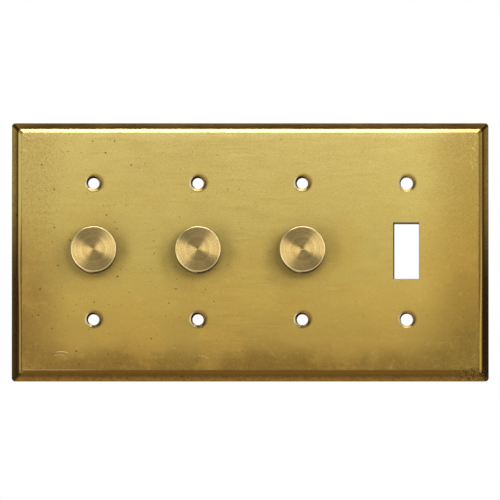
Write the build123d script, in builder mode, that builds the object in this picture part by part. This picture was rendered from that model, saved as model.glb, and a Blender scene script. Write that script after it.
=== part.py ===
from build123d import *
from math import cos, radians, sin, tan
import os

os.makedirs("parts", exist_ok=True)

# Four-gang wall plate of cast brass with three push-on, push-off rotary dimmers
# behind it and an empty toggle opening in the fourth gang. Sizes are millimetres.
# X runs to the right, Z up and Y into the wall. Every height is measured out from
# the wall surface, so what lies inside the wall box has a negative height.

# Gangs
GANG_PITCH = 46.04
DIMMER_X = [-1.5 * GANG_PITCH, -0.5 * GANG_PITCH, 0.5 * GANG_PITCH]
TOGGLE_X = 1.5 * GANG_PITCH
SCREW_SPACING = 60.3

# Wall plate
PLATE_WIDTH = 210.5
PLATE_HEIGHT = 114.3
FACE_HEIGHT = 6.4
# Height, inset from the outline and corner radius at each line of the stepped edge
EDGE_LEVELS = [
    (0.0, 0.0, 1.2),
    (1.2, 0.0, 1.2),
    (4.5, 2.5, 0.6),
    (6.0, 4.2, 0.4),
    (FACE_HEIGHT, 4.5, 0.3),
]
WEB_THICKNESS = 3.0
RIM_LAND = 2.2
TRAY_LEAN = 2.0
TRAY_CORNER_RADIUS = 4.0
SCREW_HOLE_RADIUS, SCREW_SINK_RADIUS = 2.45, 3.6
WORN_HOLE_RADIUS, WORN_SINK_RADIUS = 2.7, 3.8
TOGGLE_WIDTH, TOGGLE_HEIGHT, TOGGLE_CORNER = 10.8, 24.4, 0.3

# Bush, its nut and washer, which clamp the dimmer to the plate
BUSH_RADIUS = 5.0
BUSH_HOLE_RADIUS = 5.1
BUSH_NECK = 4.2
BUSH_CHAMFER = 0.5
FLANGE_SIZE, FLANGE_THICKNESS, FLANGE_CORNER = 16.0, 1.6, 1.5
KEY_TAB_X, KEY_TAB_WIDTH, KEY_TAB_LENGTH, KEY_TAB_HEIGHT = -6.6, 1.2, 2.6, 1.2
SEAT_CLEARANCE = 0.1
THREAD_CLEARANCE = 0.03
WASHER_RADIUS, WASHER_THICKNESS, WASHER_TEETH = 7.2, 0.8, 8
WASHER_NOTCH_WIDTH, WASHER_NOTCH_RADIUS = 1.6, 6.2
NUT_ACROSS_FLATS, NUT_THICKNESS, NUT_CHAMFER = 14.0, 2.4, 0.7

# Shaft, its clip and the knob that it carries
RUNNING_CLEARANCE = 0.05
SHAFT_RADIUS, SHAFT_FLAT = 3.0, 1.5
SHAFT_FRONT, SHAFT_BACK = 19.2, -8.0
SHAFT_CHAMFER = 0.4
FRONT_FLAT_START, REAR_FLAT_END = 12.0, 1.0
PUSH_TRAVEL = 1.5
CLIP_THICKNESS, CLIP_RADIUS, CLIP_RELIEF, GROOVE_RADIUS = 0.8, 4.5, 3.4, 2.4
CLIP_PRONG_WIDTH, CLIP_MOUTH = 1.6, 3.8
KEY_ANGLE = 255
KNOB_RADIUS, KNOB_CHAMFER, KNOB_REAR_CHAMFER = 10.0, 0.85, 0.3
KNOB_BACK, KNOB_FRONT = 8.4, 20.9
RECESS_RADIUS, RECESS_FLOOR = 8.5, 14.9
HUB_RADIUS, HUB_BACK = 4.75, 12.4
CENTRE_MARK_RADIUS, CENTRE_MARK_TIP, CENTRE_MARK_DEPTH = 0.45, 0.15, 0.35
SET_SCREW_RADIUS, SET_SCREW_HOLE, SET_SCREW_LENGTH = 1.45, 1.5, 8.0
SET_SCREW_HEIGHT = 17.1
SET_SCREW_SOCKET, SET_SCREW_SOCKET_DEPTH, SET_SCREW_POINT = 1.5, 1.8, 0.5

# Potentiometer
CASE_RADIUS, CASE_WALL, CASE_DEPTH, CASE_MOUTH = 8.5, 0.5, 7.0, 3.4
CRIMP_WIDTH, CRIMP_HEIGHT = 4.0, 1.4
TRACK_RADIUS, TRACK_BORE, TRACK_THICKNESS = 7.9, 5.2, 1.2
TAIL_WIDTH, TAIL_END = 10.0, 13.0
LUG_PITCH, LUG_WIDTH, LUG_THICKNESS, LUG_START = 3.4, 1.2, 0.5, 9.2
ROTOR_RADIUS, ROTOR_FRONT, ROTOR_BACK = 7.1, -1.6, -5.2
ROTOR_RECESS_RADIUS, ROTOR_RECESS_SPARE = 5.0, 0.5
WIPER_TIP, WIPER_INNER, WIPER_OUTER, WIPER_ANGLE = -1.1, 5.6, 6.8, 24
STOP_TAB_RADIUS, STOP_TAB_ANGLE = 7.75, 40
STOP_INNER_RADIUS, STOP_ANGLE = 7.3, 48

# Push switch behind the potentiometer
SWITCH_SIZE, SWITCH_CORNER, SWITCH_FLOOR = 16.0, 1.0, 1.0
SWITCH_BORE = 4.6
SLIDE_SLOT_LENGTH, SLIDE_SLOT_WIDTH = 12.0, 2.2
PLUNGER_RADIUS, PLUNGER_HEAD = 4.4, 1.5
EAR_LENGTH, EAR_WIDTH = 11.4, 1.8
STEM_RADIUS, STEM_LENGTH = 1.5, 2.1
SPRING_RADIUS, SPRING_WIRE, SPRING_WIRE_SIDES, SPRING_TURNS = 2.6, 0.3, 8, 3

# Circuit board and what stands on it
BOARD_WIDTH, BOARD_HEIGHT, BOARD_FRONT, BOARD_THICKNESS = 37.0, 43.0, -14.5, 1.6
BOARD_NOTCH_RADIUS = 3.4
LEAD_HOLE_RADIUS = 0.8
CHOKE_X, CHOKE_OUTER_RADIUS = -14.2, 6.25
CORE_WIDTH, CORE_THICKNESS, CORE_MEAN_RADIUS, CORE_CORNER = 6.6, 2.3, 4.5, 0.5
WIRE_BUILD, WINDING_GAP = 0.6, 50
CHOKE_LEAD_RADIUS, CHOKE_LEAD_Z = 0.4, 2.8
CAPACITOR_WIDTH, CAPACITOR_THICKNESS, CAPACITOR_HEIGHT = 15.0, 6.5, 11.0
CAPACITOR_Z, CAPACITOR_CORNER, CAPACITOR_CHAMFER = -17.9, 0.7, 0.35
CAPACITOR_LEAD_X, CAPACITOR_LEAD_RADIUS = 5.0, 0.35
TRIAC_LEFT, TRIAC_Z, TRIAC_WIDTH, TRIAC_LENGTH = -2.0, 14.3, 10.0, 15.6
TRIAC_TAB, TRIAC_BODY_LENGTH, TRIAC_BODY, TRIAC_DRAFT = 1.3, 9.2, 4.4, 5
TRIAC_HOLE_X, TRIAC_HOLE_RADIUS = 0.8, 1.9
TRIAC_LEAD_PITCH, TRIAC_LEAD_WIDTH, TRIAC_LEAD_THICKNESS = 2.54, 0.8, 0.5
TRIAC_LEAD_X, TRIAC_LEAD_HEIGHT, TRIAC_LEAD_BEND, TRIAC_LEAD_ROOT = 15.6, -0.7, 0.9, 1.0

# Wire terminals
TERMINAL_WIDTH, TERMINAL_HEIGHT, TERMINAL_DEPTH, TERMINAL_Z = 28.0, 10.3, 7.0, -16.65
TERMINAL_CLEARANCE = 0.2
TERMINAL_PITCH = 9.0
WIRE_HOLE_RADIUS, WIRE_HOLE_HEIGHT, WIRE_HOLE_DEPTH = 1.8, -18.6, 8.0
WELL_RADIUS, WELL_DEPTH = 2.7, 2.4
BARRIER_GROOVE = 1.0
TERMINAL_HEAD_RADIUS, TERMINAL_HEAD, TERMINAL_SHANK_RADIUS, TERMINAL_SHANK = 2.4, 1.4, 1.45, 1.6
DRIVE_SLOT_WIDTH, DRIVE_SLOT_DEPTH = 0.7, 0.8

# Heat-sink plate and moulded housing
MODULE_WIDTH, MODULE_HEIGHT, MODULE_CORNER = 42.0, 48.0, 3.0
HEAT_SINK_THICKNESS = 1.5
POST_X, POST_Z, POST_RADIUS = 17.2, 20.2, 3.0
POST_HOLE_RADIUS, POST_HOLE_DEPTH = 1.5, 10.0
STUD_RADIUS, STUD_HEIGHT = 1.75, 1.7
HOUSING_WALL, HOUSING_DEPTH, HOUSING_DRAFT, HOUSING_INNER_CORNER = 1.8, 20.9, 1.0, 1.4
HUMP_WIDTH, HUMP_TOP, HUMP_DEPTH, HUMP_CORNER, HUMP_CHAMFER = 35.0, -9.4, 6.0, 1.5, 0.5
LEDGE_X, LEDGE_WIDTH, LEDGE_LENGTH = 17.9, 1.2, 30.0
VENT_COUNT, VENT_PITCH, VENT_LENGTH, VENT_WIDTH, VENT_Z = 5, 4.4, 22.0, 1.6, 5.0
DRIVER_HOLE_RADIUS, WIRE_WINDOW_RADIUS, WIRE_WINDOW_DEPTH = 2.2, 1.9, 2.8
HOUSING_SCREW_RADIUS, HOUSING_SCREW_LENGTH = 1.45, 8.0
HOUSING_SCREW_HEAD, HOUSING_SINK_ANGLE = 2.8, 90
CROSS_LENGTH, CROSS_WIDTH, CROSS_DEPTH = 3.2, 0.7, 0.9

# Heights that follow from the sizes above
WEB_BACK = FACE_HEIGHT - WEB_THICKNESS
HEAT_SINK_BACK = WEB_BACK - HEAT_SINK_THICKNESS
BUSH_BACK = HEAT_SINK_BACK - FLANGE_THICKNESS
BUSH_FRONT = FACE_HEIGHT + BUSH_NECK
NUT_BACK = FACE_HEIGHT + WASHER_THICKNESS
CLIP_BACK = BUSH_BACK - RUNNING_CLEARANCE - CLIP_THICKNESS
ROTOR_RECESS_FLOOR = CLIP_BACK - PUSH_TRAVEL - ROTOR_RECESS_SPARE
TRACK_BACK = BUSH_BACK - TRACK_THICKNESS
CASE_BACK = BUSH_BACK - CASE_DEPTH
PLUNGER_FRONT = SHAFT_BACK - RUNNING_CLEARANCE
PLUNGER_BACK = PLUNGER_FRONT - PLUNGER_HEAD
SPRING_BACK = BOARD_FRONT + SWITCH_FLOOR
BOARD_BACK = BOARD_FRONT - BOARD_THICKNESS
LEAD_END = BOARD_BACK
TERMINAL_BACK = BOARD_BACK - TERMINAL_DEPTH
WELL_FLOOR = TERMINAL_BACK + WELL_DEPTH
HOUSING_BACK = HEAT_SINK_BACK - HOUSING_DEPTH
HOUSING_FLOOR = HOUSING_BACK + HOUSING_WALL
HUMP_BACK = HOUSING_BACK - HUMP_DEPTH
HOUSING_BOTTOM = -MODULE_HEIGHT / 2
KEY_DIRECTION = (cos(radians(KEY_ANGLE)), 0, sin(radians(KEY_ANGLE)))
TERMINAL_X = [-TERMINAL_PITCH, 0, TERMINAL_PITCH]
TRIAC_LEAD_Z = [TRIAC_Z + step * TRIAC_LEAD_PITCH for step in (-1, 0, 1)]
LUG_X = [-LUG_PITCH, 0, LUG_PITCH]
CORNER_POSTS = [(x, z) for x in (-POST_X, POST_X) for z in (-POST_Z, POST_Z)]

# Half section of a turned piece: x is the radius and y the height
TURNING = Plane(origin=(0, 0, 0), x_dir=(1, 0, 0), z_dir=(0, 0, -1))


def level(height):
    """Plane parallel to the wall at a height, facing the room."""
    return Plane.XZ.offset(height)


def keyed_level(height):
    """The same plane, turned so that its x axis points at the flat of the shaft."""
    return Plane(origin=(0, -height, 0), x_dir=KEY_DIRECTION, z_dir=(0, -1, 0))


def turn(*points, mode=Mode.ADD):
    """Revolve a closed outline of (radius, height) points about the shaft's axis."""
    with BuildSketch(TURNING) as profile:
        with BuildLine():
            Polyline(*points, close=True)
        make_face()
    revolve(profile.sketch, axis=Axis.Y, mode=mode)


def d_section(radius, flat):
    """Round section with one flat, as on the shaft and in the bores that it drives."""
    Circle(radius)
    with Locations((flat, 0)):
        Rectangle(radius, 2 * radius, align=(Align.MIN, Align.CENTER), mode=Mode.SUBTRACT)


def ring_sector(inner, outer, middle_angle, width_angle):
    """Part of a flat ring, centred on an angle."""
    start = middle_angle - width_angle / 2
    with BuildLine() as outline:
        outer_arc = CenterArc((0, 0), outer, start, width_angle)
        inner_arc = CenterArc((0, 0), inner, start, width_angle)
        Line(outer_arc @ 0, inner_arc @ 0)
        Line(outer_arc @ 1, inner_arc @ 1)
    make_face(outline.edges())


# Wall plate: a cast tray whose edge rises in a steep and a shallow band to the face
with BuildPart() as wall_plate:
    for height, inset, radius in EDGE_LEVELS:
        with BuildSketch(level(height)):
            RectangleRounded(PLATE_WIDTH - 2 * inset, PLATE_HEIGHT - 2 * inset, radius)
    loft(ruled=True)
    for height, inset in ((0, RIM_LAND), (WEB_BACK, RIM_LAND + TRAY_LEAN)):
        with BuildSketch(level(height)):
            RectangleRounded(PLATE_WIDTH - 2 * inset, PLATE_HEIGHT - 2 * inset, TRAY_CORNER_RADIUS)
    loft(ruled=True, mode=Mode.SUBTRACT)
    with BuildSketch(level(WEB_BACK)):
        with Locations(*[(x, 0) for x in DIMMER_X]):
            Circle(BUSH_HOLE_RADIUS)
        with Locations((TOGGLE_X, 0)):
            RectangleRounded(TOGGLE_WIDTH, TOGGLE_HEIGHT, TOGGLE_CORNER)
    extrude(amount=WEB_THICKNESS, mode=Mode.SUBTRACT)
    with Locations(level(FACE_HEIGHT)):
        with Locations(*[(x, z) for x in DIMMER_X for z in (-SCREW_SPACING / 2, SCREW_SPACING / 2)]):
            CounterSinkHole(SCREW_HOLE_RADIUS, SCREW_SINK_RADIUS, depth=WEB_THICKNESS)
        with Locations((TOGGLE_X, -SCREW_SPACING / 2), (TOGGLE_X, SCREW_SPACING / 2)):
            CounterSinkHole(WORN_HOLE_RADIUS, WORN_SINK_RADIUS, depth=WEB_THICKNESS)

# Heat-sink plate: aluminium sheet behind the web, with countersunk corners, a slot
# for the bush's key tab and a stud that is staked through the triac's tab
with BuildPart() as heat_sink_plate:
    with BuildSketch(level(HEAT_SINK_BACK)):
        RectangleRounded(MODULE_WIDTH, MODULE_HEIGHT, MODULE_CORNER)
        Circle(BUSH_HOLE_RADIUS, mode=Mode.SUBTRACT)
        with Locations((KEY_TAB_X, 0)):
            Rectangle(
                KEY_TAB_WIDTH + 2 * SEAT_CLEARANCE,
                KEY_TAB_LENGTH + 2 * SEAT_CLEARANCE,
                mode=Mode.SUBTRACT,
            )
    extrude(amount=HEAT_SINK_THICKNESS)
    with BuildSketch(level(HEAT_SINK_BACK)):
        with Locations((TRIAC_HOLE_X, TRIAC_Z)):
            Circle(STUD_RADIUS)
    extrude(amount=-STUD_HEIGHT)
    with Locations(level(WEB_BACK)):
        with Locations(*CORNER_POSTS):
            CounterSinkHole(
                POST_HOLE_RADIUS,
                HOUSING_SCREW_HEAD + SEAT_CLEARANCE,
                depth=HEAT_SINK_THICKNESS,
                counter_sink_angle=HOUSING_SINK_ANGLE,
            )

# Bush: turned brass with a square flange, a key tab and a long threaded neck
with BuildPart() as bush:
    with BuildSketch(level(BUSH_BACK)):
        Circle(BUSH_RADIUS)
    extrude(amount=BUSH_FRONT - BUSH_BACK)
    chamfer(bush.edges().group_by(Axis.Y)[0], BUSH_CHAMFER)
    with BuildSketch(level(BUSH_BACK)):
        RectangleRounded(FLANGE_SIZE, FLANGE_SIZE, FLANGE_CORNER)
    extrude(amount=FLANGE_THICKNESS)
    with BuildSketch(level(HEAT_SINK_BACK)):
        with Locations((KEY_TAB_X, 0)):
            Rectangle(KEY_TAB_WIDTH, KEY_TAB_LENGTH)
    extrude(amount=KEY_TAB_HEIGHT)
    with Locations(level(BUSH_FRONT)):
        Hole(SHAFT_RADIUS + RUNNING_CLEARANCE)

# Lock washer with internal teeth, one on each bush
with BuildPart() as lock_washer:
    with BuildSketch(level(FACE_HEIGHT)):
        Circle(WASHER_RADIUS)
        Circle(BUSH_RADIUS + SEAT_CLEARANCE, mode=Mode.SUBTRACT)
        with PolarLocations(WASHER_NOTCH_RADIUS, WASHER_TEETH):
            Rectangle(
                WASHER_NOTCH_RADIUS,
                WASHER_NOTCH_WIDTH,
                align=(Align.MAX, Align.CENTER),
                mode=Mode.SUBTRACT,
            )
    extrude(amount=WASHER_THICKNESS)

with BuildPart() as lock_washers:
    with Locations(*[(x, 0, 0) for x in DIMMER_X]):
        add(lock_washer.part)

# Hexagon nut, chamfered on its front corners, that draws the bush up to the plate
with BuildPart() as mounting_nut:
    with BuildSketch(level(NUT_BACK)):
        RegularPolygon(NUT_ACROSS_FLATS / 2, side_count=6, major_radius=False)
    extrude(amount=NUT_THICKNESS)
    nut_front = NUT_BACK + NUT_THICKNESS
    nut_corner = NUT_ACROSS_FLATS / 2 / cos(radians(30))
    turn(
        (0, NUT_BACK),
        (nut_corner, NUT_BACK),
        (nut_corner, nut_front - NUT_CHAMFER),
        (NUT_ACROSS_FLATS / 2, nut_front),
        (0, nut_front),
        mode=Mode.INTERSECT,
    )
    with Locations(level(nut_front)):
        Hole(BUSH_RADIUS + THREAD_CLEARANCE)

with BuildPart() as mounting_nuts:
    with Locations(*[(x, 0, 0) for x in DIMMER_X]):
        add(mounting_nut.part)

# Knob: turned brass, hollow behind to clear the nut, with a hub bored to a D
with BuildPart() as knob:
    turn(
        (0, HUB_BACK),
        (HUB_RADIUS, HUB_BACK),
        (HUB_RADIUS, RECESS_FLOOR),
        (RECESS_RADIUS, RECESS_FLOOR),
        (RECESS_RADIUS, KNOB_BACK),
        (KNOB_RADIUS, KNOB_BACK),
        (KNOB_RADIUS, KNOB_FRONT),
        (0, KNOB_FRONT),
    )
    chamfer(knob.edges().group_by(Axis.Y)[0], KNOB_CHAMFER)
    rear_rim = knob.edges().filter_by(GeomType.CIRCLE).group_by(Axis.Y)[-1]
    chamfer(rear_rim.sort_by(SortBy.RADIUS)[-1], KNOB_REAR_CHAMFER)
    turn(
        (0, KNOB_FRONT - CENTRE_MARK_DEPTH),
        (CENTRE_MARK_TIP, KNOB_FRONT - CENTRE_MARK_DEPTH),
        (CENTRE_MARK_RADIUS, KNOB_FRONT),
        (0, KNOB_FRONT),
        mode=Mode.SUBTRACT,
    )
    with BuildSketch(keyed_level(HUB_BACK)):
        d_section(SHAFT_RADIUS + RUNNING_CLEARANCE, SHAFT_FLAT + RUNNING_CLEARANCE)
    extrude(amount=SHAFT_FRONT + 2 * RUNNING_CLEARANCE - HUB_BACK, mode=Mode.SUBTRACT)
    with BuildSketch(Plane(origin=(0, -SET_SCREW_HEIGHT, 0), z_dir=KEY_DIRECTION)):
        Circle(SET_SCREW_HOLE)
    extrude(amount=KNOB_RADIUS, mode=Mode.SUBTRACT)

# Set screw: headless, with a hexagon socket, bearing on the flat of the shaft
with BuildPart() as set_screw:
    screw_seat = Plane(origin=(0, -SET_SCREW_HEIGHT, 0), z_dir=KEY_DIRECTION).offset(SHAFT_FLAT)
    with BuildSketch(screw_seat):
        Circle(SET_SCREW_RADIUS)
    extrude(amount=SET_SCREW_LENGTH)
    chamfer(set_screw.edges().sort_by(Axis.Z)[-1], SET_SCREW_POINT)
    with BuildSketch(screw_seat.offset(SET_SCREW_LENGTH)):
        RegularPolygon(SET_SCREW_SOCKET / 2, side_count=6, major_radius=False)
    extrude(amount=-SET_SCREW_SOCKET_DEPTH, mode=Mode.SUBTRACT)

# Shaft: one flat for the knob, one for the wiper, and a groove for the clip
with BuildPart() as shaft:
    with BuildSketch(level(SHAFT_BACK)):
        Circle(SHAFT_RADIUS)
    extrude(amount=SHAFT_FRONT - SHAFT_BACK)
    chamfer(shaft.edges().filter_by(GeomType.CIRCLE), SHAFT_CHAMFER)
    for flat_back, flat_front in ((SHAFT_BACK, REAR_FLAT_END), (FRONT_FLAT_START, SHAFT_FRONT)):
        with BuildSketch(keyed_level(flat_back)):
            with Locations((SHAFT_FLAT, 0)):
                Rectangle(SHAFT_RADIUS, 2 * SHAFT_RADIUS, align=(Align.MIN, Align.CENTER))
        extrude(amount=flat_front - flat_back, mode=Mode.SUBTRACT)
    with BuildSketch(level(CLIP_BACK - RUNNING_CLEARANCE)):
        Circle(2 * SHAFT_RADIUS)
        Circle(GROOVE_RADIUS, mode=Mode.SUBTRACT)
    extrude(amount=CLIP_THICKNESS + 2 * RUNNING_CLEARANCE, mode=Mode.SUBTRACT)

# Retaining clip: spring-steel E ring whose three prongs sit in the shaft's groove
with BuildPart() as retaining_clip:
    with BuildSketch(keyed_level(CLIP_BACK)):
        Circle(CLIP_RADIUS)
        Circle(CLIP_RELIEF, mode=Mode.SUBTRACT)
        with PolarLocations(CLIP_RELIEF, 3):
            Rectangle(2 * (CLIP_RELIEF - GROOVE_RADIUS), CLIP_PRONG_WIDTH)
        Circle(GROOVE_RADIUS + RUNNING_CLEARANCE, mode=Mode.SUBTRACT)
        Rectangle(
            2 * CLIP_RADIUS, CLIP_MOUTH, align=(Align.MAX, Align.CENTER), mode=Mode.SUBTRACT
        )
    extrude(amount=CLIP_THICKNESS)

# Potentiometer case: a drawn cup crimped to the bush's flange, with a gap for the
# tail of the track and an inward step at the bottom that stops the wiper
with BuildPart() as pot_case:
    turn(
        (CASE_RADIUS - CASE_WALL, BUSH_BACK),
        (CASE_RADIUS, BUSH_BACK),
        (CASE_RADIUS, CASE_BACK),
        (CASE_MOUTH, CASE_BACK),
        (CASE_MOUTH, CASE_BACK + CASE_WALL),
        (CASE_RADIUS - CASE_WALL, CASE_BACK + CASE_WALL),
    )
    with BuildSketch(level(CASE_BACK + CASE_WALL)):
        ring_sector(STOP_INNER_RADIUS, CASE_RADIUS - CASE_WALL / 2, -90, STOP_ANGLE)
    extrude(amount=ROTOR_FRONT - CASE_BACK - CASE_WALL)
    with BuildSketch(level(BUSH_BACK)):
        with Locations((0, FLANGE_SIZE / 2)):
            Rectangle(CRIMP_WIDTH, CASE_WALL, align=(Align.CENTER, Align.MIN))
        with Locations((-FLANGE_SIZE / 2, 0)):
            Rectangle(CASE_WALL, CRIMP_WIDTH, align=(Align.MAX, Align.CENTER))
        with Locations((FLANGE_SIZE / 2, 0)):
            Rectangle(CASE_WALL, CRIMP_WIDTH, align=(Align.MIN, Align.CENTER))
    extrude(amount=CRIMP_HEIGHT)
    with BuildSketch(level(TRACK_BACK - SEAT_CLEARANCE)):
        with Locations((0, -CASE_RADIUS)):
            Rectangle(TAIL_WIDTH + 2 * SEAT_CLEARANCE, CASE_RADIUS)
    extrude(amount=TRACK_THICKNESS + SEAT_CLEARANCE, mode=Mode.SUBTRACT)

# Resistance track: a round wafer whose tail carries three riveted lugs to the board
with BuildPart() as resistance_track:
    with BuildSketch(level(TRACK_BACK)):
        Circle(TRACK_RADIUS)
        Rectangle(TAIL_WIDTH, TAIL_END, align=(Align.CENTER, Align.MAX))
        Circle(TRACK_BORE, mode=Mode.SUBTRACT)
    extrude(amount=TRACK_THICKNESS)
    with BuildSketch(level(TRACK_BACK)):
        with Locations(*[(x, -TAIL_END) for x in LUG_X]):
            Rectangle(LUG_WIDTH, TAIL_END - LUG_START, align=(Align.CENTER, Align.MIN))
    extrude(amount=-LUG_THICKNESS)
    with BuildSketch(level(TRACK_BACK)):
        with Locations(*[(x, -TAIL_END) for x in LUG_X]):
            Rectangle(LUG_WIDTH, LUG_THICKNESS, align=(Align.CENTER, Align.MIN))
    extrude(amount=LEAD_END - TRACK_BACK)

# Wiper rotor: moulded disc keyed to the shaft, with two contact fingers that brush
# the track, a rim tab that meets the stop, and a recess that the clip sinks into
with BuildPart() as wiper_rotor:
    with BuildSketch(level(ROTOR_BACK)):
        Circle(ROTOR_RADIUS)
        ring_sector(ROTOR_RADIUS / 2, STOP_TAB_RADIUS, 90, STOP_TAB_ANGLE)
    extrude(amount=ROTOR_FRONT - ROTOR_BACK)
    with BuildSketch(level(ROTOR_FRONT)):
        ring_sector(WIPER_INNER, WIPER_OUTER, 90, WIPER_ANGLE)
        ring_sector(WIPER_INNER, WIPER_OUTER, -90, WIPER_ANGLE)
    extrude(amount=WIPER_TIP - ROTOR_FRONT)
    with BuildSketch(level(ROTOR_RECESS_FLOOR)):
        Circle(ROTOR_RECESS_RADIUS)
    extrude(amount=ROTOR_FRONT - ROTOR_RECESS_FLOOR, mode=Mode.SUBTRACT)
    with BuildSketch(keyed_level(ROTOR_BACK)):
        d_section(SHAFT_RADIUS + RUNNING_CLEARANCE, SHAFT_FLAT + RUNNING_CLEARANCE)
    extrude(amount=ROTOR_FRONT - ROTOR_BACK, mode=Mode.SUBTRACT)

# Switch body: moulded block between case and board, bored for the plunger, with a
# cross slot that keeps the plunger from turning
with BuildPart() as switch_body:
    with BuildSketch(level(BOARD_FRONT)):
        Rectangle(SWITCH_SIZE, SWITCH_SIZE)
        chamfer(vertices(), SWITCH_CORNER)
    extrude(amount=CASE_BACK - BOARD_FRONT)
    with BuildSketch(level(SPRING_BACK)):
        Circle(SWITCH_BORE)
        Rectangle(SLIDE_SLOT_LENGTH, SLIDE_SLOT_WIDTH)
    extrude(amount=CASE_BACK - SPRING_BACK, mode=Mode.SUBTRACT)

# Switch plunger: moulded, pushed by the end of the shaft, with a stem in the spring
with BuildPart() as switch_plunger:
    with BuildSketch(level(PLUNGER_BACK)):
        Circle(PLUNGER_RADIUS)
        Rectangle(EAR_LENGTH, EAR_WIDTH)
    extrude(amount=PLUNGER_HEAD)
    with BuildSketch(level(PLUNGER_BACK)):
        Circle(STEM_RADIUS)
    extrude(amount=-STEM_LENGTH)

# Switch spring: open coil between the plunger and the floor of the switch body
with BuildPart() as switch_spring:
    coil_length = PLUNGER_BACK - SPRING_BACK - 2 * SPRING_WIRE
    with BuildLine():
        coil = Helix(
            pitch=coil_length / SPRING_TURNS,
            height=coil_length,
            radius=SPRING_RADIUS,
            center=(0, SPRING_WIRE - PLUNGER_BACK, 0),
            direction=(0, 1, 0),
        )
    with BuildSketch(Plane(origin=coil @ 0, z_dir=coil % 0)):
        RegularPolygon(SPRING_WIRE, side_count=SPRING_WIRE_SIDES)
    sweep(is_frenet=True)

# Circuit board, notched round the housing's posts and drilled for every lead
with BuildPart() as circuit_board:
    with BuildSketch(level(BOARD_BACK)):
        Rectangle(BOARD_WIDTH, BOARD_HEIGHT)
        with Locations(*CORNER_POSTS):
            Circle(BOARD_NOTCH_RADIUS, mode=Mode.SUBTRACT)
        lead_holes = [(x, -TAIL_END + LUG_THICKNESS / 2) for x in LUG_X]
        lead_holes += [(TRIAC_LEAD_X, z) for z in TRIAC_LEAD_Z]
        lead_holes += [(x, CAPACITOR_Z) for x in (-CAPACITOR_LEAD_X, CAPACITOR_LEAD_X)]
        lead_holes += [(CHOKE_X, z) for z in (-CHOKE_LEAD_Z, CHOKE_LEAD_Z)]
        with Locations(*lead_holes):
            Circle(LEAD_HOLE_RADIUS, mode=Mode.SUBTRACT)
    extrude(amount=BOARD_THICKNESS)

# Choke: ferrite ring standing on edge, wound with enamelled wire all round but for
# a gap at the top, where the start and the end of the winding are kept apart
with BuildPart() as choke:
    choke_centre = (CHOKE_X, -(BOARD_FRONT + CHOKE_OUTER_RADIUS), 0)
    choke_axis = Axis(choke_centre, (1, 0, 0))
    ring_section = Plane(origin=choke_centre, x_dir=(1, 0, 0), z_dir=(0, -1, 0))
    with BuildSketch(ring_section):
        with Locations((0, CORE_MEAN_RADIUS)):
            Rectangle(CORE_WIDTH, CORE_THICKNESS)
        chamfer(vertices(), CORE_CORNER)
    revolve(axis=choke_axis)
    with BuildSketch(ring_section.rotated((90 + WINDING_GAP / 2, 0, 0))):
        with Locations((0, CORE_MEAN_RADIUS)):
            Rectangle(CORE_WIDTH + 2 * WIRE_BUILD, CORE_THICKNESS + 2 * WIRE_BUILD)
        chamfer(vertices(), CORE_CORNER)
    revolve(axis=choke_axis, revolution_arc=360 - WINDING_GAP)
    with BuildSketch(level(LEAD_END)):
        with Locations((CHOKE_X, -CHOKE_LEAD_Z), (CHOKE_X, CHOKE_LEAD_Z)):
            Circle(CHOKE_LEAD_RADIUS)
    extrude(amount=BOARD_FRONT + CHOKE_OUTER_RADIUS / 2 - LEAD_END)

# Filter capacitor: boxed film capacitor on two leads
with BuildPart() as filter_capacitor:
    with BuildSketch(level(BOARD_FRONT)):
        with Locations((0, CAPACITOR_Z)):
            RectangleRounded(CAPACITOR_WIDTH, CAPACITOR_THICKNESS, CAPACITOR_CORNER)
    extrude(amount=CAPACITOR_HEIGHT)
    chamfer(filter_capacitor.faces().sort_by(Axis.Y)[0].edges(), CAPACITOR_CHAMFER)
    with BuildSketch(level(LEAD_END)):
        with Locations((-CAPACITOR_LEAD_X, CAPACITOR_Z), (CAPACITOR_LEAD_X, CAPACITOR_Z)):
            Circle(CAPACITOR_LEAD_RADIUS)
    extrude(amount=BOARD_FRONT - LEAD_END)

# Triac: drafted body on a drilled metal tab, with three leads bent back to the board
with BuildPart() as triac:
    body_left = TRIAC_LEFT + TRIAC_LENGTH - TRIAC_BODY_LENGTH
    with BuildSketch(level(HEAT_SINK_BACK)):
        with Locations((TRIAC_LEFT + TRIAC_LENGTH / 2, TRIAC_Z)):
            Rectangle(TRIAC_LENGTH, TRIAC_WIDTH)
        with Locations((TRIAC_HOLE_X, TRIAC_Z)):
            Circle(TRIAC_HOLE_RADIUS, mode=Mode.SUBTRACT)
    extrude(amount=-TRIAC_TAB)
    with BuildSketch(level(HEAT_SINK_BACK - TRIAC_TAB)):
        with Locations((body_left + TRIAC_BODY_LENGTH / 2, TRIAC_Z)):
            Rectangle(TRIAC_BODY_LENGTH, TRIAC_WIDTH)
    extrude(amount=TRIAC_TAB - TRIAC_BODY, taper=TRIAC_DRAFT)
    lead_centre = TRIAC_LEAD_HEIGHT - TRIAC_LEAD_THICKNESS / 2
    lead_start = TRIAC_LEFT + TRIAC_LENGTH - TRIAC_LEAD_ROOT
    for lead_z in TRIAC_LEAD_Z:
        with BuildLine(Plane(origin=(0, 0, lead_z), x_dir=(1, 0, 0), z_dir=(0, 0, -1))):
            FilletPolyline(
                (lead_start, lead_centre),
                (TRIAC_LEAD_X, lead_centre),
                (TRIAC_LEAD_X, LEAD_END),
                radius=TRIAC_LEAD_BEND,
            )
        lead_section = Plane(origin=(lead_start, -lead_centre, lead_z), x_dir=(0, 1, 0), z_dir=(1, 0, 0))
        with BuildSketch(lead_section):
            Rectangle(TRIAC_LEAD_THICKNESS, TRIAC_LEAD_WIDTH)
        sweep()

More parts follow.
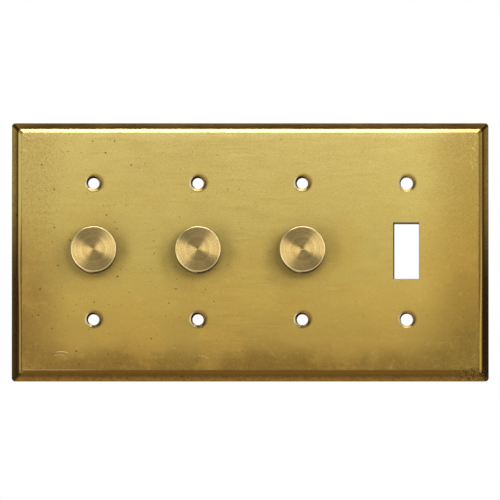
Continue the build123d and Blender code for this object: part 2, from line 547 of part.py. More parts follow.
# Terminal block: moulded, with a wire hole below and a screw well behind each pole
with BuildPart() as terminal_block:
    with BuildSketch(level(TERMINAL_BACK)):
        with Locations((0, TERMINAL_Z)):
            Rectangle(TERMINAL_WIDTH, TERMINAL_HEIGHT)
    extrude(amount=TERMINAL_DEPTH)
    with BuildSketch(level(TERMINAL_BACK)):
        with Locations((-TERMINAL_PITCH / 2, TERMINAL_Z), (TERMINAL_PITCH / 2, TERMINAL_Z)):
            Rectangle(BARRIER_GROOVE, TERMINAL_HEIGHT)
    extrude(amount=BARRIER_GROOVE, mode=Mode.SUBTRACT)
    with BuildSketch(level(TERMINAL_BACK)):
        with Locations(*[(x, TERMINAL_Z) for x in TERMINAL_X]):
            Circle(WELL_RADIUS)
    extrude(amount=WELL_DEPTH, mode=Mode.SUBTRACT)
    with BuildSketch(level(WELL_FLOOR)):
        with Locations(*[(x, TERMINAL_Z) for x in TERMINAL_X]):
            Circle(TERMINAL_SHANK_RADIUS + RUNNING_CLEARANCE)
    extrude(amount=WIRE_HOLE_HEIGHT - WELL_FLOOR, mode=Mode.SUBTRACT)
    block_underside = Plane(
        origin=(0, -WIRE_HOLE_HEIGHT, TERMINAL_Z - TERMINAL_HEIGHT / 2),
        x_dir=(1, 0, 0),
        z_dir=(0, 0, -1),
    )
    with Locations(block_underside):
        with Locations(*[(x, 0) for x in TERMINAL_X]):
            Hole(WIRE_HOLE_RADIUS, depth=WIRE_HOLE_DEPTH)

# Terminal screw: cheese head with a slot, one in each well
with BuildPart() as terminal_screw:
    head_back = WELL_FLOOR - TERMINAL_HEAD
    with BuildSketch(level(head_back)):
        Circle(TERMINAL_HEAD_RADIUS)
    extrude(amount=TERMINAL_HEAD)
    with BuildSketch(level(WELL_FLOOR)):
        Circle(TERMINAL_SHANK_RADIUS)
    extrude(amount=TERMINAL_SHANK)
    with BuildSketch(level(head_back)):
        Rectangle(2 * TERMINAL_HEAD_RADIUS, DRIVE_SLOT_WIDTH)
    extrude(amount=DRIVE_SLOT_DEPTH, mode=Mode.SUBTRACT)

with BuildPart() as terminal_screws:
    with Locations(*[(gang + x, 0, TERMINAL_Z) for gang in DIMMER_X for x in TERMINAL_X]):
        add(terminal_screw.part)

# Housing: drafted moulding, open in front, with corner posts, ledges under the
# board, a hump over the terminals, vents, screwdriver holes and wire windows
with BuildPart() as housing:
    with BuildSketch(level(HEAT_SINK_BACK)):
        RectangleRounded(MODULE_WIDTH, MODULE_HEIGHT, MODULE_CORNER)
    extrude(amount=-HOUSING_DEPTH, taper=HOUSING_DRAFT)
    hump_bottom = HOUSING_BOTTOM + HOUSING_DEPTH * tan(radians(HOUSING_DRAFT))
    hump_middle = (hump_bottom + HUMP_TOP) / 2
    with BuildSketch(level(HOUSING_BACK)):
        with Locations((0, hump_middle)):
            RectangleRounded(HUMP_WIDTH, HUMP_TOP - hump_bottom, HUMP_CORNER)
    extrude(amount=-HUMP_DEPTH, taper=HOUSING_DRAFT)
    chamfer(housing.faces().sort_by(Axis.Y)[-1].edges(), HUMP_CHAMFER)
    with BuildSketch(level(HEAT_SINK_BACK)):
        RectangleRounded(
            MODULE_WIDTH - 2 * HOUSING_WALL, MODULE_HEIGHT - 2 * HOUSING_WALL, HOUSING_INNER_CORNER
        )
    extrude(amount=HOUSING_FLOOR - HEAT_SINK_BACK, taper=HOUSING_DRAFT, mode=Mode.SUBTRACT)
    with BuildSketch(level(HOUSING_FLOOR)):
        with Locations((0, TERMINAL_Z)):
            Rectangle(
                TERMINAL_WIDTH + 2 * TERMINAL_CLEARANCE,
                TERMINAL_HEIGHT + 2 * TERMINAL_CLEARANCE,
            )
    extrude(amount=TERMINAL_BACK - TERMINAL_CLEARANCE - HOUSING_FLOOR, mode=Mode.SUBTRACT)
    with BuildSketch(level(HOUSING_FLOOR)):
        with Locations(*CORNER_POSTS):
            Circle(POST_RADIUS)
    extrude(amount=HEAT_SINK_BACK - HOUSING_FLOOR)
    with BuildSketch(level(HOUSING_FLOOR)):
        with Locations((-LEDGE_X, 0), (LEDGE_X, 0)):
            Rectangle(LEDGE_WIDTH, LEDGE_LENGTH)
    extrude(amount=BOARD_BACK - HOUSING_FLOOR)
    with Locations(level(HEAT_SINK_BACK)):
        with Locations(*CORNER_POSTS):
            Hole(POST_HOLE_RADIUS, depth=POST_HOLE_DEPTH)
    with BuildSketch(level(HOUSING_BACK)):
        with Locations((0, VENT_Z)):
            with GridLocations(VENT_PITCH, 0, VENT_COUNT, 1):
                SlotOverall(VENT_LENGTH, VENT_WIDTH, rotation=90)
    extrude(amount=HOUSING_WALL, mode=Mode.SUBTRACT)
    with BuildSketch(level(HUMP_BACK)):
        with Locations(*[(x, TERMINAL_Z) for x in TERMINAL_X]):
            Circle(DRIVER_HOLE_RADIUS)
    extrude(amount=HOUSING_FLOOR - HUMP_BACK, mode=Mode.SUBTRACT)
    window_plane = Plane(
        origin=(0, -WIRE_HOLE_HEIGHT, HOUSING_BOTTOM), x_dir=(1, 0, 0), z_dir=(0, 0, -1)
    )
    with Locations(window_plane):
        with Locations(*[(x, 0) for x in TERMINAL_X]):
            Hole(WIRE_WINDOW_RADIUS, depth=WIRE_WINDOW_DEPTH)

# Housing screw: countersunk with a cross recess, through the heat sink into a post
with BuildPart() as housing_screw:
    with BuildSketch(level(WEB_BACK)):
        Circle(HOUSING_SCREW_RADIUS)
    extrude(amount=-HOUSING_SCREW_LENGTH)
    turn(
        (0, WEB_BACK),
        (HOUSING_SCREW_HEAD, WEB_BACK),
        (0, WEB_BACK - HOUSING_SCREW_HEAD),
    )
    with BuildSketch(level(WEB_BACK)):
        Rectangle(CROSS_LENGTH, CROSS_WIDTH)
        Rectangle(CROSS_WIDTH, CROSS_LENGTH)
    extrude(amount=-CROSS_DEPTH, mode=Mode.SUBTRACT)

with BuildPart() as housing_screws:
    with Locations(*[(gang + x, 0, z) for gang in DIMMER_X for x, z in CORNER_POSTS]):
        add(housing_screw.part)

# Pieces that the whole plate shares, fasteners as groups of separate solids
wall_plate.part.label = "wall_plate"
export_step(wall_plate.part, "parts/wall_plate.step")
lock_washers.part.label = "lock_washers"
export_step(lock_washers.part, "parts/lock_washers.step")
mounting_nuts.part.label = "mounting_nuts"
export_step(mounting_nuts.part, "parts/mounting_nuts.step")
housing_screws.part.label = "housing_screws"
export_step(housing_screws.part, "parts/housing_screws.step")
terminal_screws.part.label = "terminal_screws"
export_step(terminal_screws.part, "parts/terminal_screws.step")

# The three dimmers are alike, so each piece is made once and placed in every gang
DIMMER_PIECES = {
    "heat_sink_plate": heat_sink_plate,
    "bush": bush,
    "knob": knob,
    "set_screw": set_screw,
    "shaft": shaft,
    "retaining_clip": retaining_clip,
    "pot_case": pot_case,
    "resistance_track": resistance_track,
    "wiper_rotor": wiper_rotor,
    "switch_body": switch_body,
    "switch_plunger": switch_plunger,
    "switch_spring": switch_spring,
    "circuit_board": circuit_board,
    "choke": choke,
    "filter_capacitor": filter_capacitor,
    "triac": triac,
    "terminal_block": terminal_block,
    "housing": housing,
}
for gang_number, gang_x in enumerate(DIMMER_X, start=1):
    for piece_name, piece in DIMMER_PIECES.items():
        placed = piece.part.moved(Location((gang_x, 0, 0)))
        placed.label = f"{piece_name}_{gang_number}"
        export_step(placed, f"parts/{piece_name}_{gang_number}.step")
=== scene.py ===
import math

import bmesh
import bpy
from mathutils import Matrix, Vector


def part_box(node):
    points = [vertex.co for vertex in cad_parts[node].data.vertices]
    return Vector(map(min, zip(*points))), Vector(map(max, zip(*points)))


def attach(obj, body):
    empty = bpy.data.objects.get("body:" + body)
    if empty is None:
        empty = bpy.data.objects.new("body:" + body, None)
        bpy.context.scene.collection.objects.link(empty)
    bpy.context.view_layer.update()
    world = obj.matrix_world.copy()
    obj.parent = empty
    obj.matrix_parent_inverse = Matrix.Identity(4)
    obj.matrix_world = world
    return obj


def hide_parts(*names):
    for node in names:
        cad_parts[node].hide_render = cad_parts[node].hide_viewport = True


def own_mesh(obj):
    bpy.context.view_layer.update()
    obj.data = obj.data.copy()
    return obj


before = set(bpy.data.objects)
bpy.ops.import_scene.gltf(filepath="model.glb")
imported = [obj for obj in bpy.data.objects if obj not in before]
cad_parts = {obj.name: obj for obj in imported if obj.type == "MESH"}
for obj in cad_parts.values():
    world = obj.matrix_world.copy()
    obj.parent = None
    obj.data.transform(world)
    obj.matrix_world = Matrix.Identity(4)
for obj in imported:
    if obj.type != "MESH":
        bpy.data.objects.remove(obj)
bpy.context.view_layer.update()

# The camera looks at the plate through a long lens from the middle and a little below,
# so that all four gangs are seen alike and the undersides of the knobs show.
plate_low, plate_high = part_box("wall_plate")
plate_front = plate_low.y
view_width, camera_distance, sensor_width = 0.2206, 8.0, 36.0
camera_turn, camera_rise = math.radians(0.0), math.radians(-4.3)
aim = Vector((-0.0001, plate_front, 0.0006))
towards_camera = Vector((
    math.sin(camera_turn) * math.cos(camera_rise),
    -math.cos(camera_turn) * math.cos(camera_rise),
    math.sin(camera_rise),
))
bpy.ops.object.camera_add(location=aim + towards_camera * camera_distance)
camera = bpy.context.object
camera.name = "studio_camera"
camera.rotation_euler = towards_camera.to_track_quat("Z", "Y").to_euler()
camera.data.sensor_width = sensor_width
camera.data.lens = sensor_width * camera_distance / view_width
camera.data.clip_start = 0.05
bpy.context.scene.camera = camera
bpy.context.scene.view_settings.view_transform = "Standard"


# Studio light: one soft lamp overhead that runs along the top of the plate's edge, and
# two tall ones in front, at the left and right, which fan out on the turned knobs.
def softbox(name, location, size, power):
    """Rectangular lamp that faces the middle of the plate."""
    bpy.ops.object.light_add(type="AREA", location=location)
    lamp = bpy.context.object
    lamp.name = name
    lamp.rotation_euler = (Vector(location) - aim).to_track_quat("Z", "Y").to_euler()
    lamp.visible_camera = False
    lamp.data.shape = "RECTANGLE"
    lamp.data.size, lamp.data.size_y = size
    lamp.data.energy = power


softbox("lamp_overhead", (0.0, -0.15, 0.85), (0.90, 0.20), 9.5)
softbox("lamp_right", (0.44, -0.88, 0.24), (0.25, 0.75), 3.9)
softbox("lamp_left", (-0.44, -0.88, -0.09), (0.25, 0.75), 3.0)


def add_node(tree, kind, inputs=None, **settings):
    """New shader node with its settings, and its inputs given as values or as sockets."""
    node = tree.nodes.new(kind)
    for setting, value in settings.items():
        setattr(node, setting, value)
    for socket, value in (inputs or {}).items():
        if isinstance(value, bpy.types.NodeSocket):
            tree.links.new(value, node.inputs[socket])
        else:
            node.inputs[socket].default_value = value
    return node


def math_node(tree, operation, first, second=0.0, third=0.0, clamp=False):
    """Output socket of one arithmetic step."""
    node = add_node(tree, "ShaderNodeMath", {0: first, 1: second, 2: third}, operation=operation)
    node.use_clamp = clamp
    return node.outputs[0]


def axes_of(tree, vector):
    """The X, Y and Z outputs of a vector."""
    return add_node(tree, "ShaderNodeSeparateXYZ", {"Vector": vector}).outputs


def fade(tree, value, start, end, low=0.0, high=1.0):
    """Smooth step of a value from low at the start to high at the end."""
    node = add_node(
        tree, "ShaderNodeMapRange",
        {"Value": value, "From Min": start, "From Max": end, "To Min": low, "To Max": high},
        interpolation_type="SMOOTHSTEP",
    )
    return node.outputs[0]


# The studio itself: white where the camera looks past the object. In reflections it is
# brightest at the sides, dimmer above and below, and darkest along the wall's plane.
room = bpy.data.worlds.new("studio_room")
room.use_nodes = True
bpy.context.scene.world = room
sky = room.node_tree
sky.nodes.clear()
direction = add_node(sky, "ShaderNodeTexCoord").outputs["Generated"]
direction_axes = axes_of(sky, direction)
into_wall, upwards = direction_axes["Y"], direction_axes["Z"]
side_tone = fade(sky, into_wall, 0.30, -0.20, 0.16, 0.80)
front_tone = fade(sky, into_wall, -0.30, -0.85, 1.0, 0.44)
side_tone = math_node(sky, "MULTIPLY", side_tone, front_tone)
steepness = math_node(sky, "ABSOLUTE", upwards)
level_tone = fade(sky, steepness, 0.15, 0.60, 1.0, 0.40)
rear_tone = fade(sky, into_wall, 0.50, 0.90, 0.0, 0.45)
studio_tone = math_node(sky, "MULTIPLY_ADD", side_tone, level_tone, rear_tone)
rays = add_node(sky, "ShaderNodeLightPath").outputs
glossy = math_node(sky, "MAXIMUM", rays["Is Glossy Ray"], rays["Is Transmission Ray"])
fill_tone = add_node(sky, "ShaderNodeMix", {0: glossy, 2: 0.55, 3: studio_tone}).outputs[0]
room_tone = add_node(
    sky, "ShaderNodeMix", {0: rays["Is Camera Ray"], 2: fill_tone, 3: 1.0}
).outputs[0]
room_light = add_node(sky, "ShaderNodeBackground", {"Color": (1, 1, 1, 1), "Strength": room_tone})
add_node(sky, "ShaderNodeOutputWorld", {"Surface": room_light.outputs[0]})

# The floor lies far below the plate, which hangs free as it would on a wall. It is
# nearly white to the camera and still takes the object's soft shadow.
floor_size, floor_drop = 8.0, 0.75
bpy.ops.mesh.primitive_plane_add(size=floor_size, location=(0, 0, plate_low.z - floor_drop))
floor = bpy.context.object
floor.name = "studio_floor"
floor_paper = bpy.data.materials.new("floor_paper")
floor_paper.use_nodes = True
paper = floor_paper.node_tree
paper.nodes.clear()
paper_rays = add_node(paper, "ShaderNodeLightPath").outputs
paper_matte = add_node(paper, "ShaderNodeBsdfDiffuse", {"Color": (0.86, 0.86, 0.86, 1)})
paper_glow = add_node(paper, "ShaderNodeEmission", {"Strength": 1.0})
paper_share = math_node(paper, "MULTIPLY", paper_rays["Is Camera Ray"], 0.72)
paper_mix = add_node(
    paper, "ShaderNodeMixShader",
    {"Fac": paper_share, 1: paper_matte.outputs[0], 2: paper_glow.outputs[0]},
)
add_node(paper, "ShaderNodeOutputMaterial", {"Surface": paper_mix.outputs[0]})
floor.data.materials.append(floor_paper)


# Wall plate: one brass casting. Its edge rises in a steep and a shallow band to the
# flat face, its back is hollowed to a drafted tray, and screw holes, bush holes and the
# toggle opening are cut through the web.
def pick_only(piece):
    """Make a piece the only one selected and the active one."""
    bpy.ops.object.select_all(action="DESELECT")
    piece.select_set(True)
    bpy.context.view_layer.objects.active = piece


def open_for_editing(piece):
    """Open a piece in edit mode with nothing picked in it."""
    pick_only(piece)
    bpy.ops.object.mode_set(mode="EDIT")
    bpy.ops.mesh.select_all(action="DESELECT")


def close_editing():
    bpy.ops.object.mode_set(mode="OBJECT")


def pick(piece, faces=None, edges=None):
    """Select the faces or edges that a rule on their place and direction accepts."""
    bpy.ops.mesh.select_mode(type="FACE" if faces else "EDGE")
    bpy.ops.mesh.select_all(action="DESELECT")
    mesh = bmesh.from_edit_mesh(piece.data)
    mesh.normal_update()
    if faces:
        for face in mesh.faces:
            face.select_set(faces(face.calc_center_median(), face.normal))
    else:
        for edge in mesh.edges:
            start, end = (vertex.co for vertex in edge.verts)
            edge.select_set(edges((start + end) / 2, (end - start).normalized()))
    mesh.select_flush_mode()
    bmesh.update_edit_mesh(piece.data)


def add_box(name, low, high):
    """Box primitive between two corners, with its place already in its mesh."""
    middle = (Vector(low) + Vector(high)) / 2
    bpy.ops.object.select_all(action="DESELECT")
    bpy.ops.mesh.primitive_cube_add(size=1, location=middle, scale=Vector(high) - Vector(low))
    box = bpy.context.object
    box.name = box.data.name = name
    bpy.ops.object.transform_apply(location=True, rotation=True, scale=True)
    return box


def add_rod(name, centre, radius, depth, sides=64, direction=(0, 1, 0)):
    """Cylinder primitive along a direction, with its place already in its mesh."""
    bpy.ops.object.select_all(action="DESELECT")
    turn = Vector(direction).to_track_quat("Z", "Y").to_euler()
    bpy.ops.mesh.primitive_cylinder_add(
        vertices=sides, radius=radius, depth=depth, location=centre, rotation=turn
    )
    rod = bpy.context.object
    rod.name = rod.data.name = name
    bpy.ops.object.transform_apply(location=True, rotation=True, scale=True)
    return rod


def apply_modifier(piece, kind, **settings):
    """Add a modifier with its settings and apply it to the mesh."""
    pick_only(piece)
    modifier = piece.modifiers.new(kind.lower(), kind)
    for setting, value in settings.items():
        setattr(modifier, setting, value)
    bpy.ops.object.modifier_apply(modifier=modifier.name)


def cut_away(piece, cutters):
    """Subtract each cutter from a piece and delete it."""
    for cutter in cutters:
        apply_modifier(piece, "BOOLEAN", operation="DIFFERENCE", solver="EXACT", object=cutter)
        bpy.data.objects.remove(cutter)


def shade_softly(piece, angle_degrees):
    """Smooth shading over small angles, with the large flat faces kept flat."""
    pick_only(piece)
    bpy.ops.object.shade_smooth_by_angle(angle=math.radians(angle_degrees))
    apply_modifier(piece, "WEIGHTED_NORMAL", keep_sharp=True)


side_height, corner_round = 0.0012, 0.0014
edge_bands = ((0.00275, 0.0035), (0.0016, 0.0015), (0.00015, 0.0002))
cast_edge_round = 0.00012
web_back = plate_front + 0.0030
rim_land, tray_lean, tray_corner = 0.0022, 0.0020, 0.0040
gang_pitch = 0.04604
gang_x = [(step - 1.5) * gang_pitch for step in range(4)]
screw_z = 0.03015
knob_gang_bore, knob_gang_sink = 0.00245, 0.0036
toggle_gang_bore, toggle_gang_sink = 0.0027, 0.0038
sink_half_angle = math.radians(50)
bush_hole_radius, bush_hole_length = 0.0051, 0.02
toggle_width, toggle_height = 0.0108, 0.0244
toggle_wear, toggle_corner = 0.00055, 0.0003
cutter_reach = 0.002

wall_plate = add_box(
    "wall_plate_casting",
    (plate_low.x, -side_height, plate_low.z),
    (plate_high.x, 0, plate_high.z),
)
open_for_editing(wall_plate)
pick(wall_plate, faces=lambda place, normal: normal.y < -0.9)
for inset, rise in edge_bands:
    bpy.ops.mesh.inset(thickness=inset, depth=rise)
pick(wall_plate, edges=lambda place, along: abs(along.y) > 0.9
     or place.y < -side_height - 0.0001 and abs(along.x) > 0.2 and abs(along.z) > 0.2)
bpy.ops.mesh.bevel(offset=corner_round, segments=6, affect="EDGES")
steep_top, shallow_top = -side_height - edge_bands[0][1], plate_front + edge_bands[2][1]
for line, softness in (
    (-side_height, 0.0003), (steep_top, 0.00045), (shallow_top, 0.00010), (plate_front, 0.00014)
):
    pick(wall_plate, edges=lambda place, along: abs(along.y) < 0.01
         and abs(place.y - line) < 0.00001)
    bpy.ops.mesh.bevel(offset=softness, segments=4, affect="EDGES")
close_editing()


def screw_hole_cutter(x, z, bore_radius, sink_radius):
    """Bore with a countersink towards the room, flared on past the face."""
    sink_depth = (sink_radius - bore_radius) / math.tan(sink_half_angle)
    start, end = web_back + cutter_reach, plate_front + sink_depth
    cutter = add_rod("screw_hole_cutter", (x, (start + end) / 2, z), bore_radius, start - end)
    open_for_editing(cutter)
    pick(cutter, faces=lambda place, normal: normal.y < -0.9)
    cone_lengths = 2.0
    flare = (bore_radius + (sink_radius - bore_radius) * cone_lengths) / bore_radius
    bpy.ops.mesh.extrude_region_move(
        TRANSFORM_OT_translate={"value": (0, -sink_depth * cone_lengths, 0)}
    )
    bpy.ops.transform.resize(value=(flare, 1, flare), center_override=(x, 0, z))
    close_editing()
    return cutter


over_back = 0.001
lean_over = over_back * tray_lean / (-web_back)
tray_cutter = add_box(
    "tray_cutter",
    (plate_low.x + rim_land - lean_over, web_back, plate_low.z + rim_land - lean_over),
    (plate_high.x - rim_land + lean_over, over_back, plate_high.z - rim_land + lean_over),
)
open_for_editing(tray_cutter)
pick(tray_cutter, faces=lambda place, normal: normal.y < -0.9)
lean = tray_lean + lean_over
bpy.ops.transform.resize(
    value=(
        1 - lean / (plate_high.x - rim_land + lean_over), 1,
        1 - lean / (plate_high.z - rim_land + lean_over),
    ),
    center_override=(0, web_back, 0),
)
pick(tray_cutter, edges=lambda place, along: abs(along.y) > 0.5)
bpy.ops.mesh.bevel(offset=tray_corner, segments=6, affect="EDGES")
close_editing()
hole_cutters = [tray_cutter]
for gang, x in enumerate(gang_x):
    bore_radius, sink_radius = knob_gang_bore, knob_gang_sink
    if gang == 3:
        bore_radius, sink_radius = toggle_gang_bore, toggle_gang_sink
    for z in (-screw_z, screw_z):
        hole_cutters.append(screw_hole_cutter(x, z, bore_radius, sink_radius))
    if gang < 3:
        hole_cutters.append(add_rod(
            "bush_hole_cutter", (x, plate_front, 0), bush_hole_radius, bush_hole_length
        ))
toggle_cutter = add_box(
    "toggle_cutter",
    (gang_x[3] - toggle_width / 2, plate_front, -toggle_height / 2),
    (gang_x[3] + toggle_width / 2, web_back, toggle_height / 2),
)
open_for_editing(toggle_cutter)
pick(toggle_cutter, faces=lambda place, normal: normal.y < -0.9)
bpy.ops.transform.resize(
    value=(1 + toggle_wear / toggle_width, 1, 1 + toggle_wear / toggle_height),
    center_override=(gang_x[3] + toggle_width / 2, plate_front, -toggle_height / 2),
)
bpy.ops.mesh.extrude_region_move(TRANSFORM_OT_translate={"value": (0, -cutter_reach, 0)})
pick(toggle_cutter, faces=lambda place, normal: normal.y > 0.9)
bpy.ops.mesh.extrude_region_move(TRANSFORM_OT_translate={"value": (0, cutter_reach, 0)})
close_editing()
apply_modifier(
    toggle_cutter, "BEVEL", width=toggle_corner, segments=3, limit_method="ANGLE"
)
hole_cutters.append(toggle_cutter)
cut_away(wall_plate, hole_cutters)
apply_modifier(
    wall_plate, "BEVEL", width=cast_edge_round, segments=2, limit_method="ANGLE",
    angle_limit=math.radians(32), use_clamp_overlap=True,
)
shade_softly(wall_plate, 40)


def new_material(name):
    """Empty node material and its tree."""
    material = bpy.data.materials.new(name)
    material.use_nodes = True
    material.node_tree.nodes.clear()
    return material, material.node_tree


def finish_material(tree, surface):
    add_node(tree, "ShaderNodeOutputMaterial", {"Surface": surface})


def give_material(mesh, material):
    """Make a material the only one of a mesh."""
    mesh.materials.clear()
    mesh.materials.append(material)


def noise(tree, vector, scale, detail, roughness):
    """Noise value at a scale given in features for each metre."""
    node = add_node(
        tree, "ShaderNodeTexNoise",
        {"Vector": vector, "Scale": scale, "Detail": detail, "Roughness": roughness},
    )
    return node.outputs[0]


def stretched(tree, vector, scale):
    """Coordinates scaled along each axis, which stretches a pattern the other way."""
    return add_node(tree, "ShaderNodeMapping", {"Vector": vector, "Scale": scale}).outputs[0]


def blend_colours(tree, factor, first, second):
    """Colour that goes from the first to the second as a factor rises."""
    node = add_node(tree, "ShaderNodeMix", data_type="RGBA")
    for socket, value in (("Factor_Float", factor), ("A_Color", first), ("B_Color", second)):
        target = next(s for s in node.inputs if s.identifier == socket)
        if isinstance(value, bpy.types.NodeSocket):
            tree.links.new(value, target)
        else:
            target.default_value = value if socket == "Factor_Float" else (*value, 1)
    return next(s for s in node.outputs if s.identifier == "Result_Color")


def tinted(tree, tone, *layers):
    """Tone with each layer's tint laid over it in turn, as far as its mask allows."""
    for mask, tint in layers:
        tone = blend_colours(tree, mask, tone, tint)
    return tone


def tone_ramp(tree, value, stops):
    """Colour ramp from (position, colour) stops."""
    ramp = add_node(tree, "ShaderNodeValToRGB", {"Fac": value})
    while len(ramp.color_ramp.elements) < len(stops):
        ramp.color_ramp.elements.new(0.5)
    for element, (position, colour) in zip(ramp.color_ramp.elements, stops):
        element.position = position
        element.color = (*colour, 1)
    return ramp.outputs[0]


def new_group(name, inputs, output):
    """Node group with named inputs and one number as its output."""
    group = bpy.data.node_groups.new(name, "ShaderNodeTree")
    for socket, default in inputs:
        kind = "NodeSocketVector" if isinstance(default, tuple) else "NodeSocketFloat"
        item = group.interface.new_socket(socket, in_out="INPUT", socket_type=kind)
        item.default_value = default
    group.interface.new_socket(output, in_out="OUTPUT", socket_type="NodeSocketFloat")
    start = group.nodes.new("NodeGroupInput")
    end = group.nodes.new("NodeGroupOutput")
    return group, start.outputs, end.inputs[0]


def use_group(tree, group, inputs):
    """Output of a node group placed in a material."""
    return add_node(tree, "ShaderNodeGroup", inputs, node_tree=group).outputs[0]


def vector_node(tree, operation, *values):
    """Output of one vector step, a number where the step gives a number."""
    slots = (0, "Scale") if operation == "SCALE" else (0, 1)
    node = add_node(tree, "ShaderNodeVectorMath", dict(zip(slots, values)), operation=operation)
    gives_number = operation in ("DOT_PRODUCT", "LENGTH", "DISTANCE")
    return node.outputs["Value" if gives_number else "Vector"]


def point(tree, **axes):
    """Vector put together from its X, Y and Z."""
    return add_node(tree, "ShaderNodeCombineXYZ", axes).outputs[0]


# Pits: round pores of a casting, which lie in the face and show as small dark dots
pitting, pit_in, pit_out = new_group(
    "casting_pits", [("Position", (0, 0, 0)), ("Spacing", 0.004), ("Size", 0.2), ("Share", 0.4)],
    "Pits",
)
pit_axes = axes_of(pitting, pit_in["Position"])
cells = add_node(
    pitting, "ShaderNodeTexVoronoi",
    {
        "Vector": point(pitting, X=pit_axes["X"], Y=pit_axes["Z"]),
        "Scale": math_node(pitting, "DIVIDE", 1.0, pit_in["Spacing"]),
    },
    voronoi_dimensions="2D",
)
cell_pick = axes_of(pitting, cells.outputs["Color"])
chosen = math_node(pitting, "LESS_THAN", cell_pick[0], pit_in["Share"])
size_pick = math_node(pitting, "POWER", cell_pick[1], 1.6)
pit_size = math_node(pitting, "MULTIPLY", pit_in["Size"], size_pick)
pit_reach = math_node(pitting, "DIVIDE", cells.outputs["Distance"], pit_size)
pit_shape = fade(pitting, math_node(pitting, "SUBTRACT", 1.0, pit_reach), 0.0, 0.7)
pitting.links.new(math_node(pitting, "MULTIPLY", pit_shape, chosen), pit_out)

# Rub marks: fine noise drawn out along one direction, as wiping or a wheel leaves it
rubbing, rub_in, rub_out = new_group(
    "rub_marks", [("Position", (0, 0, 0)), ("Stretch", (1, 1, 1)), ("Spacing", 0.0006)], "Marks"
)
rub_place = vector_node(rubbing, "MULTIPLY", rub_in["Position"], rub_in["Stretch"])
rub_scale = math_node(rubbing, "DIVIDE", 1.0, rub_in["Spacing"])
rub_noise = noise(rubbing, rub_place, rub_scale, 3.0, 0.6)
rubbing.links.new(fade(rubbing, rub_noise, 0.30, 0.70), rub_out)

# Scratches: single strokes between two points of the face, bowed a little
scratching, scratch_in, scratch_out = new_group(
    "scratch", [("Position", (0, 0, 0)), ("Start", (0, 0, 0)), ("End", (1, 0, 0)), ("Bow", 0.0)],
    "Stroke",
)
along_face = vector_node(scratching, "MULTIPLY", scratch_in["Position"], (1, 0, 1))
from_start = vector_node(scratching, "SUBTRACT", along_face, scratch_in["Start"])
span = vector_node(scratching, "SUBTRACT", scratch_in["End"], scratch_in["Start"])
span_square = vector_node(scratching, "DOT_PRODUCT", span, span)
covered = vector_node(scratching, "DOT_PRODUCT", from_start, span)
part_way = math_node(scratching, "DIVIDE", covered, span_square, clamp=True)
part_left = math_node(scratching, "SUBTRACT", 1.0, part_way)
hump = math_node(scratching, "MULTIPLY", part_way, part_left)
full_bow = math_node(scratching, "MULTIPLY", scratch_in["Bow"], 4.0)
bow_size = math_node(scratching, "MULTIPLY", hump, full_bow)
across_span = vector_node(scratching, "CROSS_PRODUCT", span, (0, 1, 0))
across_span = vector_node(scratching, "NORMALIZE", across_span)
on_span = vector_node(scratching, "SCALE", span, part_way)
bowed_out = vector_node(scratching, "SCALE", across_span, bow_size)
on_line = vector_node(scratching, "ADD", on_span, bowed_out)
aside = vector_node(scratching, "DISTANCE", from_start, on_line)
stroke_shape = fade(scratching, aside, 0.00026, 0.00004)
tapered = math_node(scratching, "MULTIPLY", stroke_shape, fade(scratching, hump, 0.0, 0.12))
scratching.links.new(tapered, scratch_out)

# Finish of the casting: raw brass, aged to brown at the ends and the foot of the face,
# rubbed bright along the upright edges, and rusted in the lower right corner. Painted
# shade also darkens the foot, and a painted highlight lies under the top edge.
aged_brass, brass_tree = new_material("aged_cast_brass")
place = add_node(brass_tree, "ShaderNodeTexCoord").outputs["Object"]
plate_x, plate_y, plate_z = axes_of(brass_tree, place)


def brass_math(operation, first, second=0.0, third=0.0):
    return math_node(brass_tree, operation, first, second, third)


def brass_fade(value, start, end, low=0.0, high=1.0):
    return fade(brass_tree, value, start, end, low, high)


def overlap(*masks):
    """Mask that is high only where all the given masks are."""
    shared = masks[0]
    for mask in masks[1:]:
        shared = brass_math("MULTIPLY", shared, mask)
    return shared


def gap(first, second):
    """Size of the difference between two values."""
    return brass_math("ABSOLUTE", brass_math("SUBTRACT", first, second))


# Where a point lies on the plate: how far in from its edge, on which side, and how high
reach_x = brass_math("SUBTRACT", plate_high.x, brass_math("ABSOLUTE", plate_x))
reach_z = brass_math("SUBTRACT", plate_high.z, brass_math("ABSOLUTE", plate_z))
from_edge = brass_math("MINIMUM", reach_x, reach_z)
upright = brass_fade(brass_math("SUBTRACT", reach_z, reach_x), -0.0004, 0.0004)
level = brass_math("SUBTRACT", 1.0, upright)
upper = brass_fade(plate_z, -0.010, 0.030)
upper_right = overlap(upper, brass_fade(plate_x, -0.01, 0.01))
upper_left = brass_math("SUBTRACT", upper, upper_right)
low_left = overlap(brass_fade(plate_x, 0.0, -0.05), brass_fade(plate_z, 0.0, -0.035))
wiped = overlap(brass_fade(plate_x, 0.0, 0.1), brass_fade(plate_z, -0.005, -0.040))
cloud = noise(brass_tree, stretched(brass_tree, place, (0.6, 1, 1)), 70.0, 5.0, 0.6)
fine_cloud = noise(brass_tree, place, 500.0, 4.0, 0.65)
grain = noise(brass_tree, place, 1900.0, 3.0, 0.7)
